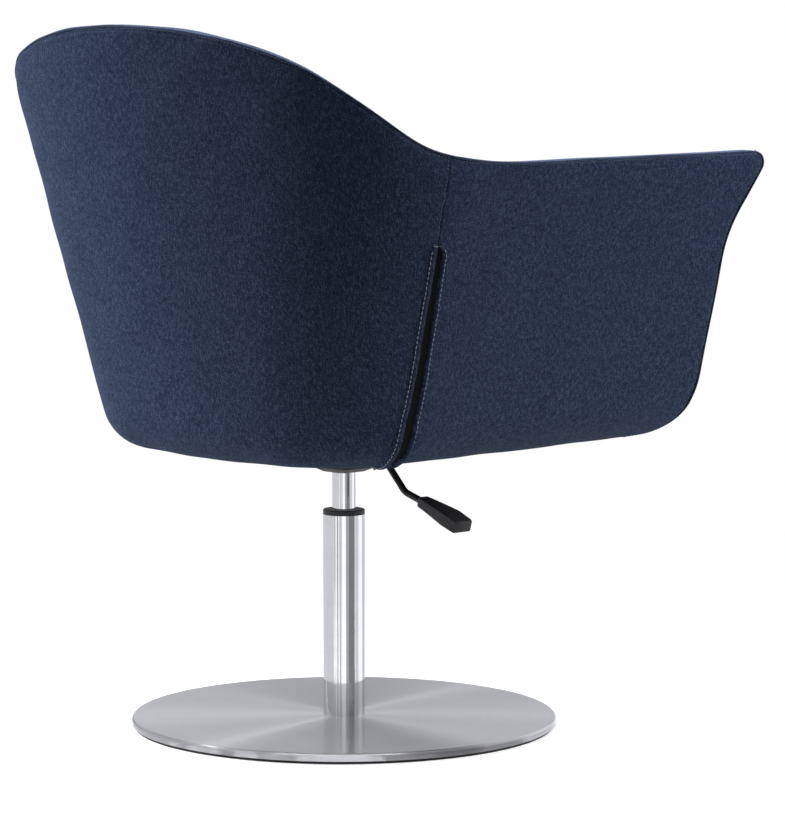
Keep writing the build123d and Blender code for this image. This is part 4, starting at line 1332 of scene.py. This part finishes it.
def floor_and_backdrop():
    """A pale floor that reads white and keeps the contact shadow, under a white room."""
    mesh = bpy.data.meshes.new("floor")
    corners = [(x * FLOOR_REACH, y * FLOOR_REACH, 0) for x, y in ((-1, -1), (1, -1), (1, 1), (-1, 1))]
    mesh.from_pydata(corners, [], [(0, 1, 2, 3)])
    floor = bpy.data.objects.new("floor", mesh)
    floor.location.z = -0.0002
    bpy.context.scene.collection.objects.link(floor)
    material, tree, shader = new_material("pale_floor")
    feed(tree, shader, Base_Color=(0.82, 0.82, 0.82, 1), Roughness=0.75, Specular_IOR_Level=0.2)
    near = put(tree, "ShaderNodeAddShader", {0: shader.outputs[0], 1: glow(tree, FLOOR_GLOW)})
    at = object_point(tree)
    distance = put(tree, "ShaderNodeVectorMath", {0: at}, operation="LENGTH").outputs["Value"]
    away = put(tree, "ShaderNodeMapRange", {0: distance, 1: 0.45, 2: 1.3, 3: 0.0, 4: 1.0}).outputs[0]
    both = put(tree, "ShaderNodeMixShader", {0: away, 1: near.outputs[0], 2: glow(tree, 1.0)})
    tree.links.new(both.outputs[0], tree.nodes["Material Output"].inputs["Surface"])
    mesh.materials.append(material)
    world = bpy.data.worlds.new("white_room")
    bpy.context.scene.world = world
    world.use_nodes = True
    tree = world.node_tree
    strength = maths(tree, "MULTIPLY_ADD", seen_directly(tree), 1.0 - AMBIENT, AMBIENT)
    background = tree.nodes["Background"]
    background.inputs["Color"].default_value = (1, 1, 1, 1)
    tree.links.new(strength, background.inputs["Strength"])


REFLECTION_CARDS = (            # from and to, in degrees from the camera to its right, and brightness
    (-180, -56, 0.80), (-52, -48, 0.40), (-44, -38, 1.20), (-36, -31, 0.28),
    (-30, -26, 1.3), (-24, -13, 0.72), (-10, 9, 1.35), (11, 26, 0.5),
    (26, 60, 0.26), (63, 85, 0.8), (88, 116, 1.3), (118, 180, 0.74),
)
CARD_OUTLINE = ((0.258, 0.001), (0.46, 0.001), (0.46, 0.34))    # distance from the column and height


def reflection_cards():
    """Grey and white cards round the column, seen only in polished and brushed metal."""
    for number, (start, end, brightness) in enumerate(REFLECTION_CARDS):
        turns = np.radians(np.linspace(start, end, 2 + int((end - start) / 6)))
        ways = [TOWARDS_CAMERA * cos(t) + IMAGE_RIGHT * sin(t) for t in turns]
        grid = np.array([[way * reach + Vector((0, 0, up)) for way in ways] for reach, up in CARD_OUTLINE])
        card = bpy.data.objects.new(f"card_{number}", mesh_from_grid(f"card_{number}", grid))
        material, tree, _ = new_material(f"card_{number}")
        light = put(tree, "ShaderNodeEmission", {"Color": (0.95, 0.96, 1, 1), "Strength": brightness})
        tree.links.new(light.outputs[0], tree.nodes["Material Output"].inputs["Surface"])
        card.data.materials.append(material)
        bpy.context.scene.collection.objects.link(card)
        card.visible_camera = card.visible_diffuse = card.visible_transmission = card.visible_shadow = False


# Lamps: place towards the camera, to its right and up; size; power; if gloss and soft surfaces get its light
LAMPS = (
    ("left_softbox", (-0.6, -2.7, 1.1), 1.6, 108, False, True),
    ("right_softbox", (0.1, 2.2, 1.2), 1.4, 50, False, True),
    ("top_softbox", (0.3, 0.0, 3.0), 2.2, 46, True, True),
    ("rim_softbox", (-1.6, -2.4, 2.4), 0.8, 95, False, True),
    ("glint_lamp", (-1.2, -2.2, 3.1), 0.16, 7, True, False),
)


def area_lamp(name, place, size, power, gloss, soft):
    """A square lamp that looks at the middle of the chair."""
    towards, right, up = place
    lamp = bpy.data.lights.new(name, "AREA")
    lamp.size = size
    lamp.energy = power
    obj = bpy.data.objects.new(name, lamp)
    obj.location = TOWARDS_CAMERA * towards + IMAGE_RIGHT * right + Vector((0, 0, up))
    obj.rotation_euler = (Vector((0, 0, 0.45)) - obj.location).to_track_quat("-Z", "Y").to_euler()
    obj.visible_glossy, obj.visible_diffuse = gloss, soft
    bpy.context.scene.collection.objects.link(obj)


def light_and_camera():
    for lamp in LAMPS:
        area_lamp(*lamp)
    lens = bpy.data.cameras.new("photo_camera")
    lens.sensor_width = 36
    lens.lens = FOCAL_PIXELS / LONG_SIDE * lens.sensor_width
    lens.clip_end = 60
    camera = bpy.data.objects.new("photo_camera", lens)
    camera.location = TOWARDS_CAMERA * CAMERA_DISTANCE + Vector((0, 0, CAMERA_HEIGHT))
    sight = -TOWARDS_CAMERA + IMAGE_RIGHT * AIM_RIGHT - Vector((0, 0, AIM_DOWN))
    camera.rotation_euler = sight.to_track_quat("-Z", "Y").to_euler()
    bpy.context.scene.collection.objects.link(camera)
    bpy.context.scene.camera = camera
    bpy.context.scene.view_settings.view_transform = "Standard"


# The chair

def upholster():
    """Dresses the bucket: covers, pads, band, rail, linings, cushion, dust cloth and all the stitching."""
    back, arm = back_cover_patch(), arm_cover_patch()
    soft_piece("back_cover", back.grid, back.mapping(), COVER_THICKNESS)
    soft_pair("arm_cover", arm.grid, arm.mapping(), COVER_THICKNESS)
    pad = back_pad_patch()
    soft_piece("back_pad", pad.grid, pad.mapping(), PAD_THICKNESS)
    pad = arm_pad_patch()
    soft_pair("arm_pad", pad.grid, pad.mapping(), PAD_THICKNESS)
    band = rim_band_grid()
    soft_piece("rim_band", band, grid_lengths(band), BAND_THICKNESS, material=NAVY_BAND)
    rail = front_rail_grid()
    soft_piece("front_rail", rail[:, ::-1], grid_lengths(rail), RAIL_THICKNESS)
    slit_linings()
    seat_cushion()
    dust_cover()
    slit_rows = (
        seam_row(back, back.start, BACK_HEM - 0.0004, high=SLIT_TOP + 0.0035),
        seam_row(arm, arm.end, ARM_HEM - 0.0004, high=SLIT_TOP + 0.0035),
    )
    stitches("slit_stitches", slit_rows, PALE_THREAD, SLIT_STITCH)
    stitches("slit_bars", [bar_row(back, arm)], PALE_THREAD, BAR_STITCH)
    seam_rows = (
        seam_row(back, back.start, 0.0024, low=SLIT_TOP + 0.006),
        seam_row(arm, arm.start, 0.0026),
        top_row(arm, 0.0024),
        top_row(back, 0.0024),
    )
    stitches("seam_stitches", seam_rows, NAVY_THREAD, SEAM_STITCH)


finish_solids()
upholster()
lever_handle()
floor_and_backdrop()
reflection_cards()
light_and_camera()
